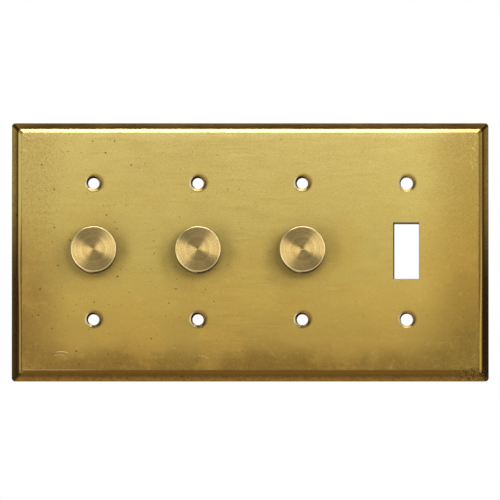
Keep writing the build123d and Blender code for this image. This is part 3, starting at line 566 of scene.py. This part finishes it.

# Tones of the face, from its foot to its top: patina, with painted shade towards the foot
# and a painted highlight just under the top edge
wavy_z = brass_math("MULTIPLY_ADD", brass_math("SUBTRACT", cloud, 0.5), 0.010, plate_z)
rise = brass_math(
    "DIVIDE", brass_math("SUBTRACT", wavy_z, plate_low.z), plate_high.z - plate_low.z
)
patina_and_painted_light = tone_ramp(brass_tree, rise, [
    (0.055, (0.215, 0.118, 0.023)), (0.088, (0.225, 0.132, 0.026)), (0.155, (0.420, 0.275, 0.060)),
    (0.310, (0.510, 0.350, 0.080)), (0.504, (0.520, 0.396, 0.108)), (0.679, (0.585, 0.450, 0.133)),
    (0.835, (0.610, 0.480, 0.150)), (0.935, (0.640, 0.505, 0.162)), (0.962, (0.760, 0.620, 0.240)),
])
side_age = brass_fade(reach_x, 0.030, 0.003)
age = overlap(side_age, brass_fade(plate_z, 0.020, -0.022, 0.22, 0.92))
right_side = overlap(
    brass_fade(plate_x, 0.070, 0.100, 0.0, 0.62), brass_fade(plate_z, -0.040, -0.018)
)
orange = overlap(
    brass_fade(noise(brass_tree, place, 38.0, 4.0, 0.65), 0.46, 0.62, 0.0, 0.42),
    brass_fade(plate_z, 0.030, -0.010, 0.30, 1.0),
)
low_right = overlap(
    brass_fade(plate_x, 0.060, 0.100, 0.0, 0.82), brass_fade(plate_z, -0.012, -0.048)
)
mottle = overlap(
    brass_fade(noise(brass_tree, place, 950.0, 4.0, 0.8), 0.44, 0.62),
    brass_fade(side_age, 0.0, 0.6, 0.0, 0.34),
)
low_band = brass_fade(plate_z, plate_low.z + 0.0049, plate_low.z + 0.0043, 0.0, 0.9)
face_tone = tinted(
    brass_tree, patina_and_painted_light,
    (age, (0.21, 0.115, 0.028)),
    (right_side, (0.36, 0.22, 0.035)),
    (orange, (0.52, 0.320, 0.066)),
    (low_right, (0.155, 0.100, 0.018)),
    (brass_fade(grain, 0.38, 0.66, 0.0, 0.42), (0.36, 0.240, 0.058)),
    (mottle, (0.27, 0.165, 0.030)),
    (brass_fade(fine_cloud, 0.52, 0.80, 0.0, 0.16), (0.70, 0.57, 0.22)),
    (brass_fade(cloud, 0.42, 0.70, 0.0, 0.14), (0.30, 0.20, 0.060)),
    (low_band, (0.15, 0.077, 0.012)),
)

# Tones of the steep band: brown and uneven, and still clean at the top of its sides
rim_width = 0.0028
across_rim = brass_math("DIVIDE", from_edge, rim_width)
brown_rim = tone_ramp(brass_tree, across_rim, [
    (0.0, (0.24, 0.15, 0.036)), (0.35, (0.20, 0.115, 0.024)), (0.8, (0.11, 0.048, 0.005)),
    (1.0, (0.12, 0.055, 0.007)),
])
clean_rim = tone_ramp(brass_tree, across_rim, [
    (0.0, (0.95, 0.70, 0.17)), (0.45, (0.88, 0.60, 0.14)), (0.70, (0.60, 0.35, 0.07)),
    (0.88, (0.18, 0.08, 0.008)), (1.0, (0.25, 0.12, 0.015)),
])
foot_rim = tinted(
    brass_tree, (0.18, 0.094, 0.014),
    (brass_fade(from_edge, 0.0024, 0.0008), (0.38, 0.185, 0.032)),
)
at_foot = overlap(brass_fade(plate_z, -0.050, -0.054, 0.0, 0.8), level)
right_low = overlap(
    brass_fade(plate_x, 0.09, 0.10), brass_fade(plate_z, 0.010, -0.030, 0.1, 0.8), upright
)
uneven = overlap(
    brass_fade(fine_cloud, 0.35, 0.68, 0.3, 1.0), brass_fade(grain, 0.34, 0.62, 0.1, 0.8)
)
clean = overlap(
    brass_fade(plate_z, -0.016, 0.036), brass_fade(plate_x, -0.01, 0.01, 1.0, 0.72),
    brass_fade(fine_cloud, 0.70, 0.40, 0.80, 1.0), upright,
)
rim_tone = tinted(
    brass_tree, brown_rim, (at_foot, foot_rim), (right_low, (0.035, 0.014, 0.003)),
    (uneven, (0.085, 0.040, 0.008)), (clean, clean_rim),
)
from_rim = brass_math("MULTIPLY_ADD", low_left, -0.0006, from_edge)
on_rim = brass_fade(from_rim, 0.0031, 0.0027, 0.0, 0.96)

# Wear along the shoulder of the steep band, with a painted highlight on it; painted shade
# over the outer mitres; aged inner mitres; and grime with painted shade in the inner crease
shoulder, low_edge, crease = 0.0033, 0.0047, 0.0044
wear_line = brass_math("MULTIPLY_ADD", wiped, 0.00042, shoulder)
wear_line = brass_math("MULTIPLY_ADD", low_left, 0.00040, wear_line)
wear_line = brass_math("MULTIPLY_ADD", upper_left, 0.00035, wear_line)
wear_width = brass_math("MULTIPLY_ADD", wiped, 0.00020, 0.00048)
wear_width = brass_math("MULTIPLY_ADD", upper_left, 0.00065, wear_width)
past_wear = brass_math("DIVIDE", gap(from_edge, wear_line), wear_width)
# Wear with a painted highlight along the shoulder, brightest at the upper left
wear_and_highlight = overlap(
    upright, brass_fade(past_wear, 1.0, 0.25, 0.0, 0.85),
    brass_fade(upper_right, 0.0, 1.0, 1.0, 0.30),
)
wear_and_highlight_tone = tinted(
    brass_tree, (0.80, 0.52, 0.15), (wiped, (0.92, 0.60, 0.13)), (upper_left, (1.0, 0.80, 0.24))
)
# Painted highlight, with wear, along the low edge of the face at the lower left
low_wear_and_highlight = overlap(
    brass_fade(gap(reach_z, low_edge), 0.00028, 0.00005, 0.0, 0.32),
    brass_fade(plate_x, -0.060, -0.080), brass_fade(plate_z, -0.04, -0.05), level,
)
# Painted shade over the outer mitres, where the corner bevels catch the lamp
mitre = gap(reach_z, reach_x)
painted_mitre_shade = overlap(
    brass_fade(mitre, 0.0018, 0.0008, 0.0, 0.93), brass_fade(from_edge, 0.0036, 0.0030)
)
inner_mitre_age = overlap(
    brass_fade(mitre, 0.0018, 0.0004, 0.0, 0.65), brass_fade(from_edge, 0.0046, 0.0042),
    brass_fade(from_edge, 0.0030, 0.0036),
)
# Grime and painted shade along the inner crease
crease_grime_and_shade = overlap(
    brass_fade(gap(from_edge, crease), 0.00045, 0.00005),
    brass_fade(fine_cloud, 0.30, 0.60, 0.10, 0.45),
    brass_fade(wiped, 0.6, 0.1), brass_fade(upper, 0.0, 1.0, 1.0, 0.15),
)

# Holes: each countersink has a painted highlight on one side and tarnish with painted shade
# on the other, and painted shade low in it; a painted shadow lies in the top left of each
# bore, painted shade darkens the cut wall of the toggle opening, and a painted shadow lies
# in a ring by each knob.
from_first_gang = brass_math("SUBTRACT", plate_x, gang_x[0])
hole_x = brass_math("WRAP", from_first_gang, gang_pitch / 2, -gang_pitch / 2)


def ring_distance(shift_x, shift_z):
    """Distance from the middle of the nearest screw hole, or from a point beside it."""
    middle_z = brass_math("MULTIPLY_ADD", brass_math("SIGN", plate_z), screw_z, shift_z)
    offset = point(
        brass_tree, X=brass_math("SUBTRACT", hole_x, shift_x),
        Y=brass_math("SUBTRACT", plate_z, middle_z),
    )
    return vector_node(brass_tree, "LENGTH", offset)


# Painted highlight on one side of each countersink
painted_sink_highlight = overlap(
    brass_fade(ring_distance(0, 0), 0.00395, 0.00360),
    brass_fade(ring_distance(0.0014, 0.0004), 0.0040, 0.0046), 0.9,
)
# Tarnish and painted shade on the other side of each countersink
sink_tarnish_and_shade = overlap(
    brass_fade(ring_distance(0.0005, 0.0003), 0.0044, 0.0036),
    brass_fade(ring_distance(-0.0012, -0.0008), 0.0033, 0.0040), 0.60,
)
# Painted shade low in each countersink
painted_low_sink_shade = overlap(
    brass_fade(ring_distance(0, 0), 0.0042, 0.0037, 0.0, 0.85),
    brass_fade(ring_distance(-0.0010, 0.0018), 0.0040, 0.0050),
)
# Painted shadow in the top left of each bore
painted_bore_shadow = brass_fade(ring_distance(-0.00040, 0.00035), 0.00288, 0.00262, 0.0, 0.97)
# Painted shade on the cut wall of the toggle opening
toggle_half_x, toggle_half_z = (toggle_width + toggle_wear) / 2, (toggle_height + toggle_wear) / 2
from_toggle_x = gap(plate_x, gang_x[3] - toggle_wear / 2)
from_toggle_z = gap(plate_z, toggle_wear / 2)
painted_toggle_shade = overlap(
    brass_fade(from_toggle_x, toggle_half_x + 0.000155, toggle_half_x + 0.000025),
    brass_fade(from_toggle_z, toggle_half_z + 0.000155, toggle_half_z + 0.000025), 0.97,
)
# Painted shadow in a soft ring by each knob, towards its lower left
from_knob = vector_node(brass_tree, "LENGTH", point(
    brass_tree, X=brass_math("ADD", hole_x, 0.0010), Y=brass_math("ADD", plate_z, 0.0008)
))
painted_knob_shadow = overlap(
    brass_fade(from_knob, 0.0134, 0.0098, 0.0, 0.42), brass_fade(plate_x, 0.047, 0.045)
)

# Corners on the right: rust grit along the foot and bright specks near the top
grit = noise(brass_tree, place, 1150.0, 3.0, 0.7)
rust_field = overlap(
    brass_fade(plate_x, 0.082, 0.099), brass_fade(plate_z, -0.0485, -0.0540),
    brass_fade(wear_and_highlight, 0.5, 0.1),
)
bright_specks = overlap(
    brass_fade(grit, 0.50, 0.72, 0.0, 0.30), brass_fade(plate_x, 0.085, 0.099),
    brass_fade(plate_z, 0.033, 0.044), brass_fade(from_edge, 0.0044, 0.0052),
)
brass_tone = tinted(
    brass_tree, face_tone,
    (on_rim, rim_tone),
    (wear_and_highlight, wear_and_highlight_tone),
    (low_wear_and_highlight, (0.80, 0.62, 0.30)),
    (painted_mitre_shade, (0.050, 0.026, 0.006)),
    (inner_mitre_age, (0.32, 0.22, 0.06)),
    (crease_grime_and_shade, (0.16, 0.080, 0.020)),
    (painted_sink_highlight, (0.96, 0.86, 0.54)),
    (sink_tarnish_and_shade, (0.26, 0.120, 0.040)),
    (painted_low_sink_shade, (0.15, 0.105, 0.032)),
    (painted_bore_shadow, (0.022, 0.014, 0.012)),
    (painted_toggle_shade, (0.020, 0.016, 0.020)),
    (painted_knob_shadow, (0.17, 0.115, 0.032)),
    (overlap(brass_fade(grit, 0.54, 0.66, 0.0, 0.45), rust_field), (0.50, 0.30, 0.11)),
    (overlap(brass_fade(grit, 0.48, 0.37, 0.0, 0.94), rust_field), (0.030, 0.010, 0.005)),
    (bright_specks, (0.95, 0.82, 0.42)),
)

# Scratches on the face, each with its ends, its bow and its strength, and the pits
on_face = brass_fade(plate_y, plate_front + 0.0020, plate_front + 0.0010)
for start, end, bow, strength in (
    ((-0.0860, 0, -0.0448), (-0.0800, 0, -0.0452), 0.0007, 0.42),
    ((-0.0872, 0, -0.0462), (-0.0812, 0, -0.0464), 0.0006, 0.22),
    ((-0.1008, 0, 0.0452), (-0.0982, 0, 0.0442), 0.0001, 0.40),
    ((-0.1006, 0, 0.0514), (-0.0968, 0, 0.0498), 0.0001, 0.30),
    ((0.0978, 0, 0.0461), (0.0996, 0, 0.0440), 0.0001, 0.30),
    ((0.0968, 0, 0.0405), (0.0984, 0, 0.0360), 0.0002, 0.24),
    ((0.0610, 0, 0.0452), (0.0655, 0, 0.0430), 0.0002, 0.22),
    ((-0.0230, 0, -0.0460), (-0.0180, 0, -0.0476), 0.0003, 0.25),
):
    stroke = use_group(
        brass_tree, scratching, {"Position": place, "Start": start, "End": end, "Bow": bow}
    )
    scratch = (overlap(stroke, strength, on_face), (0.92, 0.80, 0.46))
    brass_tone = tinted(brass_tree, brass_tone, scratch)
large_pits, small_pits = (
    use_group(
        brass_tree, pitting,
        {"Position": place, "Spacing": spacing, "Size": size, "Share": share},
    ) for spacing, size, share in ((0.0055, 0.110, 0.60), (0.0026, 0.150, 0.25))
)
pits = overlap(
    brass_math("MAXIMUM", large_pits, small_pits), brass_fade(plate_x, 0.02, -0.06, 0.30, 1.0)
)
brass_tone = tinted(brass_tree, brass_tone, (overlap(pits, 0.85), (0.055, 0.030, 0.008)))

rubs = use_group(
    brass_tree, rubbing, {"Position": place, "Stretch": (0.05, 1, 1), "Spacing": 0.0007}
)
brass_roughness = brass_math("MULTIPLY_ADD", rubs, 0.08, 0.34)
brass_roughness = brass_math("MULTIPLY_ADD", cloud, 0.10, brass_roughness)
handled = brass_fade(from_edge, 0.0052, 0.0040, 0.0, 0.13)
brass_roughness = brass_math("SUBTRACT", brass_roughness, handled)
relief = brass_math("MULTIPLY_ADD", rubs, 0.25, brass_math("MULTIPLY", cloud, 2.0))
relief = brass_math("SUBTRACT", relief, brass_math("MULTIPLY", pits, 2.0))
relief_depth = 0.00006
brass_bump = add_node(
    brass_tree, "ShaderNodeBump", {"Strength": 0.35, "Distance": relief_depth, "Height": relief}
)
brass_surface = add_node(
    brass_tree, "ShaderNodeBsdfPrincipled",
    {
        "Base Color": brass_tone, "Metallic": 1.0, "Roughness": brass_roughness,
        "Normal": brass_bump.outputs[0],
    },
)
finish_material(brass_tree, brass_surface.outputs[0])
give_material(wall_plate.data, aged_brass)
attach(wall_plate, "root")
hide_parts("wall_plate")


# Heat-sink plates: mill-finish aluminium sheet behind the web of the casting, one for
# each dimmer, with countersunk corners for the housing screws.
def softened_copy(node, name, body, material, edge_width, smooth_angle=35):
    """Piece made from a CAD node, its triangles joined and its edges rounded."""
    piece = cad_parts[node].copy()
    piece.data = piece.data.copy()
    for key in list(piece.keys()):
        del piece[key]
    piece.name = piece.data.name = name
    piece.parent = None
    bpy.context.scene.collection.objects.link(piece)
    open_for_editing(piece)
    bpy.ops.mesh.select_all(action="SELECT")
    bpy.ops.mesh.remove_doubles(threshold=0.000002)
    bpy.ops.mesh.dissolve_limited(angle_limit=math.radians(0.5))
    close_editing()
    apply_modifier(
        piece, "BEVEL", width=edge_width, segments=2, limit_method="ANGLE",
        angle_limit=math.radians(30), use_clamp_overlap=True,
    )
    shade_softly(piece, smooth_angle)
    give_material(piece.data, material)
    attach(piece, body)
    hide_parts(node)
    return piece


def metal_finish(name, light, dark, roughness, stretch=(1, 1, 1), grain=0.0005):
    """Bare metal with drawn or rolled grain and a faint cloudy tarnish."""
    material, tree = new_material(name)
    place = add_node(tree, "ShaderNodeTexCoord").outputs["Object"]
    marks = use_group(tree, rubbing, {"Position": place, "Stretch": stretch, "Spacing": grain})
    haze = noise(tree, place, 160.0, 4.0, 0.6)
    tone = blend_colours(tree, fade(tree, haze, 0.38, 0.68), light, dark)
    gloss = math_node(tree, "MULTIPLY_ADD", marks, 0.12, roughness)
    mark_depth = 0.000012
    bump = add_node(
        tree, "ShaderNodeBump", {"Strength": 0.5, "Distance": mark_depth, "Height": marks}
    )
    surface = add_node(
        tree, "ShaderNodeBsdfPrincipled",
        {"Base Color": tone, "Metallic": 1.0, "Roughness": gloss, "Normal": bump.outputs[0]},
    )
    finish_material(tree, surface.outputs[0])
    return material


dimmers = (1, 2, 3)
mill_aluminium = metal_finish(
    "mill_aluminium", (0.70, 0.71, 0.72), (0.56, 0.57, 0.59), roughness=0.34,
    stretch=(1, 1, 0.04),
)
for dimmer in dimmers:
    softened_copy(
        f"heat_sink_plate_{dimmer}", f"heat_sink_sheet_{dimmer}", "root",
        mill_aluminium, edge_width=0.00012,
    )


# Housings: black thermoset mouldings, open in front, with vents and a hump over the
# terminals behind. The mould left a fine spark-eroded texture on the outside.
def moulded_plastic(name, colour, tint, roughness, texture=0.00035):
    """Moulded plastic with a fine even texture and slightly uneven gloss."""
    material, tree = new_material(name)
    place = add_node(tree, "ShaderNodeTexCoord").outputs["Object"]
    grain = noise(tree, place, 1.0 / texture, 3.0, 0.6)
    sheen = noise(tree, place, 90.0, 3.0, 0.5)
    tone = blend_colours(tree, fade(tree, sheen, 0.35, 0.70), colour, tint)
    gloss = math_node(tree, "MULTIPLY_ADD", sheen, 0.16, roughness - 0.08)
    grain_depth = 0.00002
    bump = add_node(
        tree, "ShaderNodeBump", {"Strength": 0.5, "Distance": grain_depth, "Height": grain}
    )
    surface = add_node(
        tree, "ShaderNodeBsdfPrincipled",
        {"Base Color": tone, "Roughness": gloss, "Normal": bump.outputs[0]},
    )
    finish_material(tree, surface.outputs[0])
    return material


black_thermoset = moulded_plastic(
    "black_thermoset", (0.016, 0.016, 0.018), (0.030, 0.030, 0.031), roughness=0.50
)
for dimmer in dimmers:
    softened_copy(
        f"housing_{dimmer}", f"dimmer_housing_{dimmer}", "root",
        black_thermoset, edge_width=0.00030,
    )

# Screws: zinc-plated steel, countersunk ones that close the housing from the front and
# cheese-headed ones in the wells of the terminals.
zinc_plate = metal_finish(
    "zinc_plate", (0.62, 0.63, 0.63), (0.48, 0.49, 0.50), roughness=0.30, grain=0.0003
)
softened_copy(
    "housing_screws", "countersunk_screws", "root", zinc_plate,
    edge_width=0.00008,
)
softened_copy(
    "terminal_screws", "clamping_screws", "root", zinc_plate,
    edge_width=0.00010,
)

# Bushes, nuts and lock washers: plain turned brass and zinc-plated spring steel. They
# draw each dimmer up against the back of the plate and show in the gap under a knob.
bar_brass = metal_finish(
    "bar_brass", (0.66, 0.50, 0.20), (0.50, 0.36, 0.12), roughness=0.30, grain=0.0004
)
for dimmer in dimmers:
    softened_copy(
        f"bush_{dimmer}", f"threaded_bush_{dimmer}", "root", bar_brass,
        edge_width=0.00010,
    )
softened_copy(
    "mounting_nuts", "hexagon_nuts", "root", bar_brass, edge_width=0.00015
)
softened_copy(
    "lock_washers", "tooth_washers", "root", zinc_plate, edge_width=0.00006
)


# Knobs: turned from brass bar and left raw. Each cut of the tool left a fine circular
# ridge on the face, and the ridges throw the light into two opposite fans.
def turned_piece(name, x, outline, steps):
    """Spin an outline of (radius, depth) points about a line along Y through x."""
    bpy.ops.object.select_all(action="DESELECT")
    bpy.ops.mesh.primitive_plane_add(size=0.001)
    piece = bpy.context.object
    piece.name = piece.data.name = name
    open_for_editing(piece)
    bpy.ops.mesh.select_mode(type="VERT")
    bpy.ops.mesh.select_all(action="SELECT")
    bpy.ops.mesh.merge(type="CENTER")
    bpy.ops.transform.translate(value=(x + outline[0][0], outline[0][1], 0))
    for start, end in zip(outline, outline[1:]):
        step = (end[0] - start[0], end[1] - start[1], 0)
        bpy.ops.mesh.extrude_region_move(TRANSFORM_OT_translate={"value": step})
    bpy.ops.mesh.select_all(action="SELECT")
    bpy.ops.mesh.spin(steps=steps, angle=math.tau, center=(x, 0, 0), axis=(0, 1, 0))
    bpy.ops.mesh.select_all(action="SELECT")
    bpy.ops.mesh.remove_doubles(threshold=0.000001)
    bpy.ops.mesh.normals_make_consistent(inside=False)
    close_editing()
    return piece


def moved_copy(piece, name, distance):
    """Copy with its own mesh, moved along X within that mesh."""
    copy = piece.copy()
    copy.data = piece.data.copy()
    copy.name = copy.data.name = name
    bpy.context.scene.collection.objects.link(copy)
    pick_only(copy)
    copy.location.x = distance
    bpy.ops.object.transform_apply(location=True, rotation=False, scale=False)
    return copy


knob_low, knob_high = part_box("knob_1")
knob_radius = (knob_high.x - knob_low.x) / 2
knob_front, knob_back = knob_low.y, knob_high.y
rim_round, edge_round, back_chamfer = 0.00045, 0.00008, 0.0003
pip_radius, pip_flat, pip_depth = 0.00045, 0.0001575, 0.00030
cut_pitch, cut_depth = 0.00020, 0.000010
cut_unevenness, unevenness_step = 0.15, 12.9898
recess_radius, recess_floor = 0.0085, -0.0149
hub_radius, hub_back = 0.00475, -0.0124
shaft_bore_radius, shaft_bore_end = 0.00305, -0.0193
set_screw_depth, screw_hole_radius = -0.0171, 0.0015
screw_hole_middle, screw_hole_length = 0.0075, 0.009
face_edge = knob_radius - rim_round
rim_turns = [math.radians(15 * step) for step in range(7)]
knob_outline = [
    (0, knob_front + pip_depth),
    (pip_flat, knob_front + pip_depth),
    (pip_radius, knob_front + cut_depth),
]
cut_count = int((face_edge - 2 * pip_radius) / cut_pitch)
for cut in range(cut_count):
    ridge = 2 * pip_radius + cut * cut_pitch
    depth = cut_depth * (1 - cut_unevenness + cut_unevenness * math.sin(cut * unevenness_step))
    knob_outline.append((ridge, knob_front))
    knob_outline.append((ridge + cut_pitch / 2, knob_front + depth))
knob_outline += [
    (face_edge - edge_round, knob_front + cut_depth),
    *((
        face_edge + rim_round * math.sin(turn), knob_front + rim_round * (1 - math.cos(turn)),
    ) for turn in rim_turns),
    (knob_radius, knob_back - back_chamfer),
    (knob_radius - back_chamfer, knob_back),
    (recess_radius + edge_round, knob_back),
    (recess_radius, knob_back - edge_round),
    (recess_radius, recess_floor),
    (hub_radius, recess_floor),
    (hub_radius, hub_back),
    (shaft_bore_radius, hub_back),
    (shaft_bore_radius, shaft_bore_end),
    (0, shaft_bore_end),
]
screw_angle = math.radians(255)
screw_direction = Vector((math.cos(screw_angle), 0, math.sin(screw_angle)))
first_knob = turned_piece("turned_knob_1", gang_x[0], knob_outline, steps=160)
screw_hole = add_rod(
    "screw_hole",
    Vector((gang_x[0], set_screw_depth, 0)) + screw_direction * screw_hole_middle,
    screw_hole_radius, screw_hole_length, sides=32, direction=screw_direction,
)
cut_away(first_knob, [screw_hole])
pick_only(first_knob)
bpy.ops.object.shade_smooth_by_angle(angle=math.radians(28))

turned_brass, turned_tree = new_material("turned_brass")
place = add_node(turned_tree, "ShaderNodeTexCoord").outputs["Object"]
knob_x, knob_y, knob_z = axes_of(turned_tree, place)
from_first = math_node(turned_tree, "SUBTRACT", knob_x, gang_x[0])
across = math_node(turned_tree, "WRAP", from_first, gang_pitch / 2, -gang_pitch / 2)
reach = point(turned_tree, X=across, Z=knob_z)
radius = vector_node(turned_tree, "LENGTH", reach)
cut_place = point(turned_tree, X=radius, Y=knob_y)
cut_lines = noise(turned_tree, cut_place, 3600.0, 2.0, 0.8)
broad_cuts = noise(turned_tree, cut_place, 1500.0, 2.0, 0.5)
tarnish = noise(turned_tree, place, 240.0, 4.0, 0.6)
sparkle = noise(turned_tree, place, 2400.0, 2.0, 0.7)
# Painted highlight, partly wear, around the rounded rim of the knob
rim_wear_and_highlight = fade(turned_tree, radius, face_edge - 0.00005, face_edge + 0.00008, 0.0, 0.9)
# Tarnish with painted shade down the side of the knob
side_tarnish_and_shade = fade(turned_tree, knob_y, knob_front + 0.0006, knob_front + 0.0009, 0.0, 0.96)
screw_mouth = screw_direction * knob_radius + Vector((0, set_screw_depth, 0))
beside_screw = vector_node(
    turned_tree, "DISTANCE", point(turned_tree, X=across, Y=knob_y, Z=knob_z), screw_mouth
)
screw_wear = fade(turned_tree, beside_screw, 0.0028, 0.0018, 0.0, 0.9)
turned_tone = tinted(
    turned_tree, (0.42, 0.279, 0.090),
    (fade(turned_tree, cut_lines, 0.30, 0.70), (0.665, 0.490, 0.188)),
    (fade(turned_tree, tarnish, 0.40, 0.75, 0.0, 0.40), (0.40, 0.28, 0.09)),
    (fade(turned_tree, sparkle, 0.52, 0.72, 0.0, 0.55), (0.87, 0.67, 0.30)),
    (fade(turned_tree, sparkle, 0.48, 0.30, 0.0, 0.55), (0.33, 0.195, 0.058)),
    (rim_wear_and_highlight, (0.84, 0.70, 0.38)),
    (side_tarnish_and_shade, (0.060, 0.030, 0.010)),
    (screw_wear, (0.95, 0.78, 0.42)),
)
turned_roughness = math_node(turned_tree, "MULTIPLY_ADD", broad_cuts, 0.04, 0.28)
turned_roughness = math_node(turned_tree, "MULTIPLY_ADD", rim_wear_and_highlight, 0.20, turned_roughness)
turned_bump = add_node(
    turned_tree, "ShaderNodeBump", {"Strength": 0.6, "Distance": cut_depth, "Height": cut_lines}
)
turned_tangent = add_node(
    turned_tree, "ShaderNodeVectorTransform", {"Vector": reach}, vector_type="VECTOR",
    convert_from="OBJECT", convert_to="WORLD",
).outputs[0]
turned_surface = add_node(
    turned_tree, "ShaderNodeBsdfPrincipled",
    {
        "Base Color": turned_tone, "Metallic": 1.0, "Roughness": turned_roughness,
        "Anisotropic": 0.9, "Tangent": turned_tangent, "Normal": turned_bump.outputs[0],
    },
)
finish_material(turned_tree, turned_surface.outputs[0])
give_material(first_knob.data, turned_brass)
for dimmer in dimmers:
    knob = first_knob
    if dimmer > 1:
        knob = moved_copy(first_knob, f"turned_knob_{dimmer}", gang_x[dimmer - 1] - gang_x[0])
    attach(knob, f"knob_{dimmer}")
    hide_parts(f"knob_{dimmer}")


# Shafts, clips and set screws, which turn with the knobs: bright drawn bar, and hardened
# steel blackened with oxide.
def dress(parts, material):
    """Give the CAD nodes of each dimmer, whose shape is right as it is, a material."""
    for part in parts:
        for dimmer in dimmers:
            give_material(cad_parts[f"{part}_{dimmer}"].data, material)


bright_bar = metal_finish(
    "bright_bar", (0.62, 0.62, 0.61), (0.50, 0.50, 0.50), roughness=0.24, stretch=(1, 0.05, 1)
)
black_oxide = metal_finish(
    "black_oxide", (0.15, 0.15, 0.16), (0.09, 0.09, 0.10), roughness=0.34
)
dress(["shaft"], bright_bar)
dress(["set_screw", "retaining_clip"], black_oxide)

# Potentiometer and switch inside each housing: a drawn and plated case, a brown
# laminate wafer for the track, and rotor, switch body and plunger in natural plastic.
natural_plastic = moulded_plastic(
    "natural_plastic", (0.55, 0.52, 0.44), (0.48, 0.45, 0.37), roughness=0.42
)
brown_laminate = moulded_plastic(
    "brown_laminate", (0.30, 0.17, 0.07), (0.22, 0.12, 0.045), roughness=0.48, texture=0.0006
)
dress(["pot_case"], zinc_plate)
dress(["resistance_track"], brown_laminate)
dress(["wiper_rotor", "switch_body", "switch_plunger"], natural_plastic)

# Switch springs: plated coils on the floor of each switch body.
for dimmer in dimmers:
    coil = softened_copy(
        f"switch_spring_{dimmer}", f"coil_spring_{dimmer}", "root", zinc_plate,
        edge_width=0.00005, smooth_angle=50,
    )
    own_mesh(coil)

# Circuit board and its parts: pressed paper board, a varnished copper winding, a yellow
# film capacitor, a black power package and the black terminal block.
paper_board = moulded_plastic(
    "paper_board", (0.36, 0.26, 0.11), (0.29, 0.20, 0.08), roughness=0.50, texture=0.0009
)
copper_winding = metal_finish(
    "copper_winding", (0.62, 0.24, 0.09), (0.36, 0.12, 0.04), roughness=0.26,
    stretch=(0.1, 1, 1), grain=0.0007,
)
yellow_box = moulded_plastic(
    "yellow_box", (0.62, 0.44, 0.05), (0.56, 0.39, 0.04), roughness=0.24
)
black_package = moulded_plastic(
    "black_package", (0.022, 0.022, 0.023), (0.035, 0.035, 0.035), roughness=0.46
)
dress(["circuit_board"], paper_board)
dress(["choke"], copper_winding)
dress(["filter_capacitor"], yellow_box)
dress(["triac", "terminal_block"], black_package)
